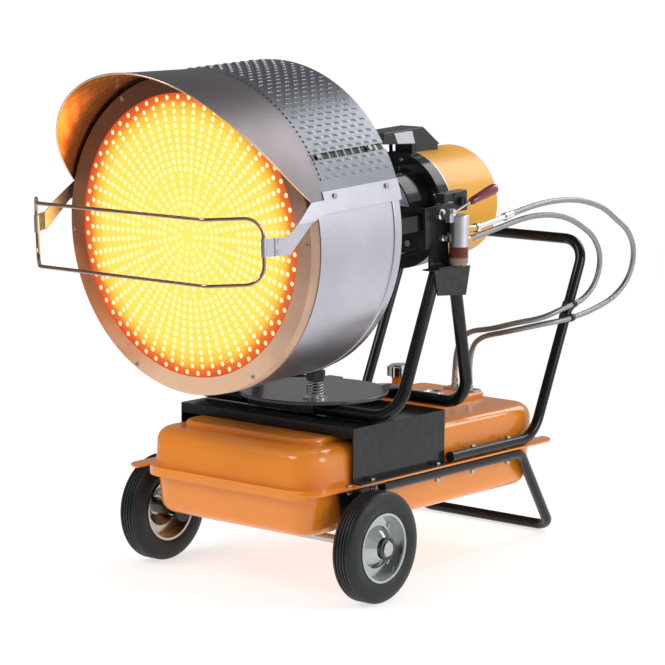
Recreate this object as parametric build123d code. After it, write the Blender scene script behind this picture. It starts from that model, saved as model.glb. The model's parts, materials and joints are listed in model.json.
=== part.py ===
from build123d import *
import math
import os

# Oil-fired radiant heater on a two-wheel cart.
# Lengths are in millimetres. X runs across the machine, Y backwards from the
# glowing face to the push handle, Z up from the floor.

# ---- fits ----
FIT = 0.05          # radial clearance of a shaft, tube or bush in its bore
SEAT = 0.05         # between pieces that are clamped or welded together
RUN = 0.3           # running gap between faces that pass each other

# ---- wheels and axle ----
TYRE_R = 125
TYRE_HALF = 30
TREAD_HALF = 17
GROOVE = 3
GROOVE_AT = (4, 12)
RIM_BED_R = 74.5
RIM_HALF = 26
RIM_LIP = 3.5
RIM_SHEET = 2
WEB_SHEET = 2.5
HUB_R = 18
BUSH_R = 14
AXLE_R = 10
WHEEL_X = 318.5
WHEEL_Y = -193
HUB_REACH = 34.2
HUB_BACK = -30
WEB_FACE = 2
CONE_R = 48
CONE_TIP_R = 24
CONE_RISE = 22
RIVETS_ON = 60      # radius of the rivets' circle
RIM_RIVET_R = 4
RIM_RIVET_HEAD = 6.5
CAP_LENGTH = 4
CAP_R = 16

# ---- fuel tank ----
TANK_HALF = 247
TANK_FRONT = -335
TANK_REAR = 545
TANK_CORNER = 68
TANK_EDGE = 34
TANK_WALL = 2
SEAM_Z = 255
TANK_TOP = 345
TANK_FLOOR = 146
TANK_DRAFT = 3
LOWER_HALF = 244
LOWER_DRAFT = 6
PAD_TOP = 358
FRONT_PAD = (198, -275, 160, 50)      # half width, front, rear, corner radius
REAR_PAD = (100, 330, 520, 24)
PAD_EDGE = 8
BEAD = 12
BEAD_DROP = 19
WING_HALF = 281.5
WING_WIDTH = 45
WING_OVER = 33

# ---- fuel filler, gauge and pick-ups ----
FILLER_X = -56
FILLER_Y = 372
NECK_OUT = 20
NECK_IN = 17.5
NECK_FOOT = 350
NECK_TOP = 396
NECK_COLLAR_R = 29
NECK_COLLAR_H = 13
BASKET_R = 15.5
BASKET_SHEET = 1
BASKET_FLOOR = 284
BASKET_SLOT = 5
BASKET_SLOTS = 6
FILLER_CAP_R = 29
FILLER_CAP_LOBES = 8
CAP_H = 28
GAUGE_X = 44
GAUGE_Y = 376
GAUGE_R = 26
GAUGE_RIM = 3
GAUGE_H = 10
GAUGE_HOLE = 14
SPINDLE_R = 2
FLOAT_REACH = 92
FLOAT_RISE = 22
FLOAT_R = 13
FLOAT_HALF = 20
FLOAT_Z = 300
PICKUP_X = (66, 22)
PICKUP_Y = 492
PICKUP_PLATE = (-4, 92, 474, 510)
PICKUP_R = 6
PICKUP_HOLE = 8

# ---- tubes of the cart ----
TUBE_R = 12.7
TUBE_WALL = 1.6
TUBE_X = 268
HANDLE_FRONT = 149
HANDLE_FOOT_Y = 478.7
HANDLE_TOP = (684.5, 728)
HANDLE_BEND = 80
HANDLE_CORNER = 60
LEG_FRONT = -105
LEG_KNEE_Y = 425
LEG_TOE = (200, 655)
LEG_BEND = 60
TOE_BEND = 50
BOLT_R = 4
BOLT_HEAD = 7.5
BOLT_HEAD_H = 5
BOLT_PLAY = 0.25
NUT_H = 6.5
CLAMP_AT = (234, 374)
FOOT_BOLT_AT = (-143, 98)
BRACKET_BOLT_AT = -225

# ---- saddle bridge and turntable ----
SADDLE_HALF = 257
SADDLE_FRONT = -197
SADDLE_REAR = 138
SADDLE_SHEET = 3
DECK_TOP = 381
SWIVEL_Y = -25
BASE_R = 60
BASE_SHEET = 4
BASE_BOLT_AT = 50
HUB_COLUMN_R = 40
KING_R = 12
DISC_R = 173
DISC_SHEET = 3
DISC_LIP = 4.4
DISC_TOP = 419
BEARER_X = 90
BEARER_HALF = 20

# ---- stand ----
STAND_TUBE_R = 14.3
STAND_BEND = 68
STAND_X = 312
CROSSBAR_Z = 397
FRONT_FOOT_Y = -112
REAR_FOOT_Y = 155
FRONT_LEAN = 0.4194
REAR_LEAN = -0.2113
APEX_TOP = 719
APEX_SHEET = 3
APEX_FRONT = -5
APEX_REAR = 128
YOKE_IN = 295.5
YOKE_SHEET = 6
YOKE_R = 25
YOKE_FRONT = 15
YOKE_REAR = 85
PIVOT_Y = 48
PIVOT_Z = 841
PIVOT_R = 8
TILT_BOLT_R = 5
TILT_BOLT_AT = 54
TILT_BOLT_LEAN = 10
TILT_RANGE = 20
SLOT_END = 7        # degrees of slot past the bolt at each end of the tilt

# ---- brake knob on the disc ----
BRAKE_X = 77
BRAKE_PIN_R = 5
BRAKE_FLANGE_R = 28.5
BRAKE_SLEEVE_R = 9
BRAKE_REST_Z = 384
SPRING_WIRE_R = 1.6
SPRING_MEAN_R = 16.9
SPRING_TURNS = 5
SPRING_PITCH = 6.6
KNOB_R = 23
KNOB_H = 24

# ---- fuel filter and valve ----
FILTER_X = 335
FILTER_Y = 76
FILTER_R = 22
FILTER_LOW = 770
FILTER_HIGH = 842
BOWL_R = 21.5
BOWL_LOW = 728
STRAP_FROM = -3
STRAP_TO = 24
STRAP_SHEET = 3
OUTLET_Z = 807
VALVE_Y = 47
VALVE_Z = 848
LEVER_X = 340.5
GRIP_START = (110, 868.5)
GRIP_END = (205, 893.5)
GRIP_R = 11

# ---- hoses ----
HOSE_R = 6.5
HOSE_FOOT_Z = 404
SUPPLY_ROUTE = [(330, 286, 827), (330, 340, 836), (330, 417, 844), (330, 485, 845), (330, 551, 841),
                (328, 616, 829), (326, 681, 809), (322, 737, 778), (319, 798, 746), (314, 835, 690),
                (307, 822, 625), (302, 763, 583), (297, 701, 565), (294, 636, 553), (289, 567, 546),
                (262, 516, 539), (191, 470, 518), (99, 482, 495), (66, 492, 452), (66, 492, 404)]
RETURN_ROUTE = [(333, 117, 783), (330, 195, 793), (326, 278, 804), (325, 342, 813), (324, 408, 815),
                (322, 471, 810), (320, 535, 797), (317, 594, 773), (313, 652, 744), (309, 693, 692),
                (302, 685, 627), (296, 634, 587), (292, 567, 577), (265, 513, 554), (206, 485, 540),
                (147, 472, 521), (61, 480, 505), (22, 492, 452), (22, 492, 404)]
CLIP_AT = ((291.2, 597, 549), (293.9, 600, 582))
CLIP_WALL = 2.5
BEND_SHARE = 0.45   # how much of the shorter run an arc may use

# ---- heating head: local X across, Y back from the front ring, Z up ----
HEAD_Y = -460
HEAD_Z = 810
NOSE_DOWN = 3
DRUM_R = 350
DRUM_SHEET = 2
DRUM_LENGTH = 304
RING_WIDTH = 39
RING_SHEET = 2
RING_LIP = 32
SCREW_INSET = 9
SCREW_TURN = 1.5
SCREW_R = 2.5
SCREW_HEAD_R = 5
EMITTER_INSET = 4
EMITTER_SHEET = 1.5
EMITTER_HOLE = 3.5
EMITTER_STEP = 32
COVER_GAP = 8       # from the drum's face to the outside of the cover
COVER_SHEET = 1.5
COVER_FRONT = 50
COVER_FROM = 11
STRIP_TO = 18.5
STRIP_SHEET = 2
CLIP_ANGLE = 30.7
CLIP_AT_S = (78, 253)
STRIP_BOLT_ANGLE = 16.4
STRIP_BOLT_AT_S = (86, 262)
STRIP_BOLT_R = 3
VISOR_FLARE = 10
VISOR_REACH = -173.4
VISOR_LOW = 97
VISOR_HEEL = 10.3
VISOR_MIDDLE = -103.9
VISOR_TUCK = 1.7    # how deep the hood's sheet slips under the cover
ARM_FOLD = 60       # height where the arm leaves the drum's curve and drops straight
ARM_SHAPE = ((8, 96.8), (-79.5, 37.4), (-76.3, -2.6), (0.2, 56.2), (39.9, 67.8), (62, 69), (62, 96.8))
TAB_LENGTH = 29.5
TAB_RIVETS = 19.7   # from the arm's end along the tab
GUARD_WIRE_R = 4
GUARD_Y = -209
GUARD_HALF = 243
GUARD_END_INSET = 23
GUARD_END_Y = -128
RIVET_H = (8, 31)
RIVET_R = 3
CLIP_TALL = 38
GUARD_LOW = -57
GUARD_HIGH = 81

# ---- burner: its axis runs lower than the drum axis ----
BURNER_Z = -36
NECK_R = 95
NECK_SHEET = 2
HOUSING_START = 650
HOUSING_R = 112
FLANGE_START = 734
FLANGE_R = 140
PLATE_START = 771
COVER_START = 773
COVER_END_R = 133
COVER_END = 980
COVER_WALL = 2
SLOT_ROWS = 7
SLOT_STEP = 20
SLOT_FIELD_R = 92
BLAST_R = 50
SHAFT_R = 6
FAN_R = 90
BLADE_TURN = 35
MOTOR_R = 55
MOTOR_END = 860
MOTOR_EDGE = 8
PUMP_R = 30
PUMP_END = 904
CHAMBER_R = 140
PLATE_SHEET = 4
RAIL_INSET = 11
RAIL_WIDTH = 26
RAIL_H = (-24, 11)

# ---- ignition box and control box ----
BOX_HIGH = 158
BOX_FLOOR = ((646, 132), (757, 121), (757, 98), (769, 98), (769, 119), (868, 110))
BOX_HALF = 35
BOX_WALL = 2
BOX_TOP_S = (652, 803)
PANEL_X = 166
PANEL_S = (706, 796)
PANEL_H = (-31, 17)
SWITCH_AT = (728, -7)
SWITCH_R = 7
SWITCH_HALF = 9
KNOB_AT = (768, -7)
DIAL_R = 11
LAMP_AT = (747, 8)
LAMP_R = 4
GLAND_H = -18
GLAND_X = 152
GLAND_R = 6
GLAND_BORE = 4

AXLE_Z = TYRE_R
AXLE_HALF = WHEEL_X + HUB_REACH + RUN
FLANGE_TOP = SEAM_Z + TANK_WALL
FLANGE_LOW = SEAM_Z - TANK_WALL
HANDLE_Z = FLANGE_TOP + TUBE_R + SEAT
LEG_Z = FLANGE_LOW - TUBE_R - SEAT
DISC_LOW = DISC_TOP - DISC_SHEET
PLATE_X = YOKE_IN + YOKE_SHEET + 0.5
RAIL_X = PLATE_X - RAIL_INSET
SHELL_IN = DRUM_R + RUN
SHELL_OUT = SHELL_IN + DRUM_SHEET
RING_IN = DRUM_R - RING_WIDTH
SCREW_AT = DRUM_R - SCREW_INSET
EMITTER_R = DRUM_R - EMITTER_INSET
COVER_R = DRUM_R + COVER_GAP
VISOR_RIM_R = COVER_R + VISOR_FLARE
ARM_X = math.sqrt(COVER_R ** 2 - ARM_FOLD ** 2)
TAB_START = Vector(ARM_X, ARM_SHAPE[1][0] - 0.5)
GUARD_END_X = ARM_X - GUARD_END_INSET
PANEL_IN = FLANGE_R + 0.2
HEAD = Pos(0, HEAD_Y, HEAD_Z) * Rot(NOSE_DOWN, 0, 0)
NOSE_COS = math.cos(math.radians(NOSE_DOWN))
NOSE_SIN = math.sin(math.radians(NOSE_DOWN))
PIVOT_S = (PIVOT_Y - HEAD_Y) * NOSE_COS + (PIVOT_Z - HEAD_Z) * NOSE_SIN
PIVOT_H = (PIVOT_Z - HEAD_Z) * NOSE_COS - (PIVOT_Y - HEAD_Y) * NOSE_SIN

nodes = {}
head_screws = []


# ---------------------------------------------------------------- helpers
def along_x(sketch, start, end):
    """A sketch drawn in (Y, Z), pushed from X=start to X=end."""
    face = Plane(origin=(start, 0, 0), x_dir=(0, 1, 0), z_dir=(1, 0, 0)) * sketch
    return extrude(face, end - start, dir=(1, 0, 0))


def along_y(sketch, start, end):
    """A sketch drawn in (X, Z), pushed from Y=start to Y=end."""
    face = Plane(origin=(0, end, 0), x_dir=(1, 0, 0), z_dir=(0, -1, 0)) * sketch
    return extrude(face, end - start, dir=(0, -1, 0))


def along_z(sketch, start, end):
    """A sketch drawn in (X, Y), pushed from Z=start to Z=end."""
    return extrude(Pos(0, 0, start) * sketch, end - start, dir=(0, 0, 1))


def block(x0, x1, y0, y1, z0, z1):
    """A box between two corners."""
    centre = Pos((x0 + x1) / 2, (y0 + y1) / 2, (z0 + z1) / 2)
    return centre * Box(x1 - x0, y1 - y0, z1 - z0)


def outline(*points):
    """A flat face with straight edges."""
    return Polygon(*points, align=None)


def annulus(outer, inner):
    """A flat ring."""
    return Circle(outer) - Circle(inner)


def hexagon(size):
    """A flat hexagon of the given corner radius."""
    return RegularPolygon(size, 6)


def rod(start, end, radius, bore=0):
    """A round bar between two points, hollow where a bore is given."""
    run = Vector(*end) - Vector(*start)
    section = annulus(radius, bore) if bore else Circle(radius)
    return extrude(Plane(origin=start, z_dir=run) * section, run.length)


def bent_tube(points, radii, outer, inner=0):
    """A tube along straight runs joined by tangent arcs."""
    path = FilletPolyline(*points, radius=radii)
    section = annulus(outer, inner) if inner else Circle(outer)
    return sweep(Plane(origin=path @ 0, z_dir=path % 0) * section, path=path)


def sheet_arc(outer, inner, start, size):
    """A curved strip between two radii, from a start angle through a size."""
    far = CenterArc((0, 0), outer, start, size)
    near = CenterArc((0, 0), inner, start, size)
    return make_face([far, Line(far @ 1, near @ 1), near, Line(near @ 0, far @ 0)])


def rounded(half_x, front, rear, corner):
    """A rectangle with round corners, centred on X=0."""
    return Pos(0, (front + rear) / 2) * RectangleRounded(2 * half_x, rear - front, corner)


def pair(solid):
    """A piece and its mirror image on the other side."""
    return [solid, mirror(solid, about=Plane.YZ)]


def save(name, *shapes, cord=False):
    """Keep a node as a list of separate solids."""
    nodes[name] = ([solid for shape in shapes for solid in shape.solids()], cord)


# ---------------------------------------------------------------- wheels
def tyre():
    bead = RIM_HALF - RIM_SHEET - SEAT
    seat = RIM_BED_R + SEAT
    lip = RIM_BED_R + RIM_LIP + RUN
    shoulder = TYRE_R - 9
    edges = [Line((-bead, seat), (bead, seat))]
    for side in (1, -1):
        corner = (side * (TYRE_HALF - 4), shoulder)
        edges.append(Line((side * bead, seat), (side * bead, lip)))
        edges.append(ThreePointArc((side * bead, lip), (side * TYRE_HALF, 98), corner))
        crown = (side * (TYRE_HALF - 8), TYRE_R - 3)
        edges.append(ThreePointArc(corner, crown, (side * TREAD_HALF, TYRE_R)))
    edges.append(Line((-TREAD_HALF, TYRE_R), (TREAD_HALF, TYRE_R)))
    section = make_face(edges)
    for place in GROOVE_AT:
        for side in (1, -1):
            section -= Pos(side * place, TYRE_R) * Rectangle(GROOVE, 2 * GROOVE)
    return revolve(section, Axis.X)


def rim():
    inner = RIM_BED_R - RIM_SHEET
    section = Pos(0, RIM_BED_R - RIM_SHEET / 2) * Rectangle(2 * RIM_HALF, RIM_SHEET)
    for side in (1, -1):
        edge = side * (RIM_HALF - RIM_SHEET / 2)
        section += Pos(edge, RIM_BED_R + RIM_LIP / 2) * Rectangle(RIM_SHEET, RIM_LIP)
    nose = WEB_FACE + CONE_RISE
    face = WEB_FACE + WEB_SHEET
    web = outline((WEB_FACE, inner + 0.5), (face, inner + 0.5), (face, CONE_R), (nose, CONE_TIP_R),
                  (nose, HUB_R - 0.5), (nose - WEB_SHEET, HUB_R - 0.5),
                  (nose - WEB_SHEET, CONE_TIP_R - 1.2), (WEB_FACE, CONE_R - 1.2))
    hub_middle = Pos((HUB_REACH + HUB_BACK) / 2, (HUB_R + BUSH_R + FIT) / 2)
    hub = hub_middle * Rectangle(HUB_REACH - HUB_BACK, HUB_R - BUSH_R - FIT)
    wheel = revolve(section + web + hub, Axis.X)
    for place in PolarLocations(RIVETS_ON, 4, start_angle=45):
        wheel -= along_x(Pos(place.position.X, place.position.Y) * Circle(RIM_RIVET_R + 2 * FIT), 0, 10)
    return wheel


def rim_rivets():
    made = []
    face = WEB_FACE + WEB_SHEET
    for place in PolarLocations(RIVETS_ON, 4, start_angle=45):
        at = Pos(place.position.X, place.position.Y)
        head = along_x(at * Circle(RIM_RIVET_HEAD), face, face + 3)
        head = fillet(head.edges().group_by(Axis.X)[-1], 2)
        made.append(head + along_x(at * Circle(RIM_RIVET_R), WEB_FACE - 0.1, face))
    return made


def bush():
    return along_x(annulus(BUSH_R, AXLE_R + FIT), HUB_BACK, HUB_REACH)


def wheels():
    for name, side in (("right", 1), ("left", -1)):
        place = Pos(WHEEL_X, WHEEL_Y, AXLE_Z)
        pieces = [place * tyre(), place * rim(), place * bush()]
        rivets = [place * rivet for rivet in rim_rivets()]
        if side < 0:
            pieces = [mirror(piece, about=Plane.YZ) for piece in pieces]
            rivets = [mirror(rivet, about=Plane.YZ) for rivet in rivets]
        save("tyre_" + name, pieces[0])
        save("rim_" + name, pieces[1], pieces[2], *rivets)


def axle():
    centre = (WHEEL_Y, AXLE_Z)
    end = AXLE_HALF + CAP_LENGTH / 2
    shaft = along_x(Pos(*centre) * Circle(AXLE_R), -end, end)
    cap = along_x(Pos(*centre) * Circle(CAP_R), AXLE_HALF, AXLE_HALF + CAP_LENGTH)
    cap -= along_x(Pos(*centre) * Circle(AXLE_R + FIT), AXLE_HALF - 1, end + FIT)
    cap = fillet(cap.edges().group_by(Axis.X)[-1], 1.5)
    save("axle", shaft, *pair(cap))


def axle_brackets():
    leaf_low = FLANGE_LOW - SEAT - 3
    leaf = block(246, 281, -250, -110, leaf_low, FLANGE_LOW - SEAT)
    for at in (BRACKET_BOLT_AT, FOOT_BOLT_AT[0]):
        leaf -= Pos(TUBE_X, at, leaf_low) * Cylinder(BOLT_R + BOLT_PLAY, 20)
    web = outline((-248, leaf_low + 1), (-112, leaf_low + 1), (WHEEL_Y + 26, AXLE_Z),
                  (WHEEL_Y - 26, AXLE_Z))
    web += Pos(WHEEL_Y, AXLE_Z) * Circle(28)
    plate = along_x(web, 252, 258)
    boss = along_x(Pos(WHEEL_Y, AXLE_Z) * Circle(16), 258, WHEEL_X + HUB_BACK - RUN)
    bore = along_x(Pos(WHEEL_Y, AXLE_Z) * Circle(AXLE_R + FIT), 240, 300)
    save("axle_brackets", *pair(leaf + plate + boss - bore))


# ---------------------------------------------------------------- tank
def pan(half_x, front, rear, height, corner, edge, draft):
    """A pressed pan standing on Z=0: drafted walls and a round top edge."""
    body = extrude(rounded(half_x, front, rear, corner), height, taper=draft)
    return fillet(body.edges().group_by(Axis.Z)[-1], edge)


def tank_body(inset, half_x, top, draft, pads):
    """The outside of a tank half for inset 0, or its inside for inset = wall."""
    back = TANK_HALF - half_x
    body = pan(half_x - inset, TANK_FRONT + back + inset, TANK_REAR - back - inset, top - inset,
               TANK_CORNER - inset, TANK_EDGE - inset, draft)
    for half, front, rear, corner in pads:
        height = PAD_TOP - SEAM_Z - inset
        low = TANK_TOP - SEAM_Z - 12
        edge = PAD_EDGE - inset
        pad = pan(half - inset, front + inset, rear - inset, height - low, corner - inset, edge, 0)
        body += Pos(0, 0, low) * pad
    return body


def flange():
    """The seam flange: a bead round the body and a straight wing on each side."""
    bead = rounded(TANK_HALF + BEAD, TANK_FRONT - BEAD, TANK_REAR + BEAD, TANK_CORNER + 7)
    wings = rounded(WING_HALF, TANK_FRONT - WING_OVER, TANK_REAR + WING_OVER - 14, WING_WIDTH)
    gap = WING_HALF - WING_WIDTH
    wings -= rounded(gap, TANK_FRONT - 60, TANK_REAR + 60, 1)
    face = bead + wings
    for at in (BRACKET_BOLT_AT,) + FOOT_BOLT_AT + CLAMP_AT:
        for side in (1, -1):
            face -= Pos(side * TUBE_X, at) * Circle(BOLT_R + BOLT_PLAY)
    return face


def tank():
    wall = TANK_WALL
    pads = (FRONT_PAD, REAR_PAD)
    height = TANK_TOP - SEAM_Z
    upper = tank_body(0, TANK_HALF, height, TANK_DRAFT, pads) + along_z(flange(), 0, wall)
    upper -= tank_body(wall, TANK_HALF, height, TANK_DRAFT, pads)
    upper = Pos(0, 0, SEAM_Z) * upper
    upper -= Pos(FILLER_X, FILLER_Y, PAD_TOP) * Cylinder(NECK_OUT + FIT, 20)
    upper -= Pos(GAUGE_X, GAUGE_Y, PAD_TOP) * Cylinder(GAUGE_HOLE, 20)
    for x in PICKUP_X:
        upper -= Pos(x, PICKUP_Y, PAD_TOP) * Cylinder(PICKUP_HOLE, 20)
    save("tank_upper_pan", upper)
    depth = SEAM_Z - TANK_FLOOR
    lower = tank_body(0, LOWER_HALF, depth, LOWER_DRAFT, ()) + along_z(flange(), 0, wall)
    out = BEAD - wall
    skirt = rounded(TANK_HALF + BEAD, TANK_FRONT - BEAD, TANK_REAR + BEAD, TANK_CORNER + 7)
    skirt -= rounded(TANK_HALF + out, TANK_FRONT - out, TANK_REAR + out, TANK_CORNER + 5)
    skirt &= rounded(TANK_HALF - 12, TANK_FRONT - 60, TANK_REAR + 60, 1)
    lower += along_z(skirt, 0, BEAD_DROP)
    lower -= tank_body(wall, LOWER_HALF, depth, LOWER_DRAFT, ())
    save("tank_lower_pan", Pos(0, 0, SEAM_Z) * mirror(lower, about=Plane.XY))


# ---------------------------------------------------------------- filler, gauge, pick-ups
def filler():
    at = Pos(FILLER_X, FILLER_Y)
    ledge = NECK_FOOT + 2
    neck = along_z(at * annulus(NECK_OUT, NECK_IN), NECK_FOOT, NECK_TOP)
    collar = along_z(at * Circle(NECK_COLLAR_R), PAD_TOP + SEAT, PAD_TOP + NECK_COLLAR_H)
    collar = fillet(collar.edges().group_by(Axis.Z)[-1], 4)
    neck += collar - along_z(at * Circle(NECK_OUT - 0.5), PAD_TOP - 1, NECK_TOP)
    neck += along_z(at * annulus(NECK_IN + 0.5, BASKET_R + 0.1), NECK_FOOT, ledge)
    save("filler_neck", neck)
    basket = along_z(at * annulus(BASKET_R, BASKET_R - BASKET_SHEET), BASKET_FLOOR + 1, ledge + 2)
    basket += along_z(at * annulus(NECK_IN - FIT, BASKET_R - 0.5), ledge + SEAT, ledge + 2)
    basket += along_z(at * Circle(BASKET_R), BASKET_FLOOR, BASKET_FLOOR + 2)
    for level in range(BASKET_SLOTS):
        low = BASKET_FLOOR + 8 + 9 * level
        cross = Rectangle(4 * NECK_OUT, BASKET_SLOT) + Rectangle(BASKET_SLOT, 4 * NECK_OUT)
        basket -= along_z(at * cross, low, low + BASKET_SLOT)
    save("filler_strainer", basket)


def filler_cap():
    at = Pos(FILLER_X, FILLER_Y)
    lobes = Circle(FILLER_CAP_R)
    for place in PolarLocations(FILLER_CAP_R - 2, FILLER_CAP_LOBES):
        lobes += place * Circle(5)
    cap = along_z(at * lobes, NECK_TOP + RUN, NECK_TOP + CAP_H - 4)
    cap = fillet(cap.edges().group_by(Axis.Z)[-1], 1.5)
    cap += along_z(at * Circle(FILLER_CAP_R - 6), NECK_TOP + CAP_H - 5, NECK_TOP + CAP_H)
    cap += along_z(at * Circle(NECK_IN - 0.6), NECK_TOP - 12, NECK_TOP + 1)
    save("filler_cap", cap)


def gauge():
    at = Pos(GAUGE_X, GAUGE_Y)
    window_r = GAUGE_R - GAUGE_RIM
    base = along_z(at * annulus(GAUGE_R, SPINDLE_R + FIT), PAD_TOP + SEAT, PAD_TOP + 1.5)
    base += along_z(at * annulus(GAUGE_R, window_r), PAD_TOP + 1, PAD_TOP + GAUGE_H)
    base += block(GAUGE_X + 6, GAUGE_X + 8, GAUGE_Y - 5, GAUGE_Y + 5, FLOAT_Z - 6, PAD_TOP + 1)
    pin = rod((GAUGE_X + 7, GAUGE_Y, FLOAT_Z), (GAUGE_X + 15, GAUGE_Y, FLOAT_Z), SPINDLE_R)
    glass = along_z(at * Circle(window_r - FIT), PAD_TOP + GAUGE_H - 3, PAD_TOP + GAUGE_H - 2)
    save("gauge_body", base + pin, glass)
    needle = along_z(at * outline((-3, -2), (16, -0.6), (16, 0.6), (-3, 2)), PAD_TOP + 2, PAD_TOP + 3)
    needle += along_z(at * Circle(SPINDLE_R), FLOAT_Z + 10, PAD_TOP + 3)
    save("gauge_pointer", needle)


def float_arm():
    hub_x = GAUGE_X + 8 + RUN
    arm_x = hub_x + 2.5
    hub = along_x(Pos(GAUGE_Y, FLOAT_Z) * annulus(5, SPINDLE_R + FIT), hub_x, hub_x + 5)
    tip = (arm_x, GAUGE_Y - FLOAT_REACH, FLOAT_Z + FLOAT_RISE)
    arm = rod((arm_x, GAUGE_Y - 3.5, FLOAT_Z + 0.7), tip, 1.5)
    float_body = rod((arm_x - FLOAT_HALF, *tip[1:]), (arm_x + FLOAT_HALF, *tip[1:]), FLOAT_R)
    save("float_arm", hub + arm + float_body)


def pickups():
    x0, x1, y0, y1 = PICKUP_PLATE
    middle = Pos((x0 + x1) / 2, (y0 + y1) / 2)
    plate = along_z(middle * RectangleRounded(x1 - x0, y1 - y0, 8), PAD_TOP + SEAT, PAD_TOP + 4)
    fittings = []
    for x in PICKUP_X:
        plate -= Pos(x, PICKUP_Y, PAD_TOP) * Cylinder(PICKUP_R + FIT, 30)
        at = Pos(x, PICKUP_Y)
        body = along_z(at * Circle(PICKUP_R), PAD_TOP - 4, PAD_TOP + 5)
        body += along_z(at * hexagon(10), PAD_TOP + 4, PAD_TOP + 13)
        body += along_z(at * Circle(PICKUP_R + 0.5), PAD_TOP + 13, PAD_TOP + 16)
        body += along_z(at * hexagon(9), PAD_TOP + 16, PAD_TOP + 27)
        body += along_z(at * Circle(HOSE_R + 1), PAD_TOP + 27, HOSE_FOOT_Z)
        body += along_z(at * annulus(4, 2.5), TANK_FLOOR + 16, PAD_TOP - 3)
        fittings.append(body)
    save("pickup_fittings", plate, *fittings)


# ---------------------------------------------------------------- saddle bridge and turntable
def saddle_bridge():
    under = DECK_TOP - SADDLE_SHEET
    foot_top = FLANGE_TOP + SADDLE_SHEET + SEAT
    bridge = block(-SADDLE_HALF, SADDLE_HALF, SADDLE_FRONT, SADDLE_REAR, under, DECK_TOP)
    web_low = PAD_TOP + SEAT
    inside = SADDLE_HALF - SADDLE_SHEET
    bridge += block(-inside - 1, inside + 1, SADDLE_FRONT, SADDLE_FRONT + SADDLE_SHEET, web_low, under + 1)
    bridge += block(-inside - 1, inside + 1, SADDLE_REAR - SADDLE_SHEET, SADDLE_REAR, web_low, under + 1)
    for side in (1, -1):
        a, b = sorted((side * inside, side * SADDLE_HALF))
        bridge += block(a, b, SADDLE_FRONT, SADDLE_REAR, FLANGE_TOP + SEAT, under + 1)
        a, b = sorted((side * inside, side * (WING_HALF - 0.5)))
        foot = block(a, b, SADDLE_FRONT, SADDLE_REAR, FLANGE_TOP + SEAT, foot_top)
        for at in FOOT_BOLT_AT:
            foot -= Pos(side * TUBE_X, at, foot_top) * Cylinder(BOLT_R + BOLT_PLAY, 20)
        bridge += foot
    centre = Pos(0, SWIVEL_Y)
    bridge -= along_z(centre * Circle(KING_R + FIT), under - 5, DECK_TOP + 5)
    for place in PolarLocations(BASE_BOLT_AT, 4, start_angle=45):
        at = centre * Pos(place.position.X, place.position.Y)
        bridge -= along_z(at * Circle(BOLT_R + FIT), under - 5, DECK_TOP + 5)
    save("saddle_bridge", bridge)


def turntable_base():
    centre = Pos(0, SWIVEL_Y)
    low = DECK_TOP + SEAT
    under = DECK_TOP - SADDLE_SHEET
    base = along_z(centre * annulus(BASE_R, KING_R + FIT), low, low + BASE_SHEET)
    base += along_z(centre * annulus(HUB_COLUMN_R, KING_R + FIT), low + 1, DISC_LOW - RUN)
    bolts = []
    for place in PolarLocations(BASE_BOLT_AT, 4, start_angle=45):
        at = centre * Pos(place.position.X, place.position.Y)
        base -= along_z(at * Circle(BOLT_R + FIT), low - 1, low + BASE_SHEET + 30)
        base -= along_z(at * Circle(BOLT_HEAD + 1), low + BASE_SHEET, low + BASE_SHEET + 40)
        bolt = along_z(at * hexagon(BOLT_HEAD), low + BASE_SHEET + SEAT, low + BASE_SHEET + BOLT_HEAD_H)
        bolt += along_z(at * Circle(BOLT_R), under - 8, low + BASE_SHEET + 1)
        ring = hexagon(BOLT_HEAD) - Circle(BOLT_R + FIT)
        nut = along_z(at * ring, under - NUT_H - SEAT, under - SEAT)
        bolts.extend([bolt, nut])
    pin = along_z(centre * Circle(KING_R), under - 4, DISC_TOP + 14)
    pin += along_z(centre * Circle(KING_R + 8), under - 6 - SEAT, under - SEAT)
    nut = along_z(centre * (hexagon(18) - Circle(KING_R + FIT)), DISC_TOP + RUN, DISC_TOP + 11)
    save("turntable_base", base, *bolts, pin, nut)


def turntable_disc():
    centre = Pos(0, SWIVEL_Y)
    disc = along_z(centre * Circle(DISC_R), DISC_LOW, DISC_TOP)
    disc = fillet(disc.edges().group_by(Axis.Z)[-1], 2)
    disc += along_z(centre * annulus(DISC_R, DISC_R - 3), DISC_LOW - DISC_LIP, DISC_LOW + 0.5)
    bar_low = CROSSBAR_Z + STAND_TUBE_R + SEAT
    for side in (1, -1):
        middle = side * BEARER_X
        front, rear = FRONT_FOOT_Y - 8, REAR_FOOT_Y + 13
        disc += block(middle - BEARER_HALF, middle + BEARER_HALF, front, rear, bar_low, DISC_LOW + 0.5)
    disc -= along_z(centre * Circle(KING_R + 0.1), DISC_LOW - 5, DISC_TOP + 1)
    disc -= along_z(Pos(BRAKE_X, FRONT_FOOT_Y) * Circle(BRAKE_PIN_R + 0.2), 380, DISC_TOP + 1)
    save("turntable_disc", disc)


# ---------------------------------------------------------------- cart tubes
def handle_tube():
    foot = (HANDLE_FOOT_Y, HANDLE_Z)
    points = [(TUBE_X, HANDLE_FRONT, HANDLE_Z), (TUBE_X, *foot), (TUBE_X, *HANDLE_TOP)]
    points += [(-x, y, z) for x, y, z in reversed(points)]
    radii = [HANDLE_BEND, HANDLE_CORNER, HANDLE_CORNER, HANDLE_BEND]
    tube = bent_tube(points, radii, TUBE_R, TUBE_R - TUBE_WALL)
    for side in (1, -1):
        for at in CLAMP_AT:
            tube -= Pos(side * TUBE_X, at, HANDLE_Z) * Cylinder(BOLT_R + BOLT_PLAY, 3 * TUBE_R)
    save("handle_tube", tube)


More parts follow.
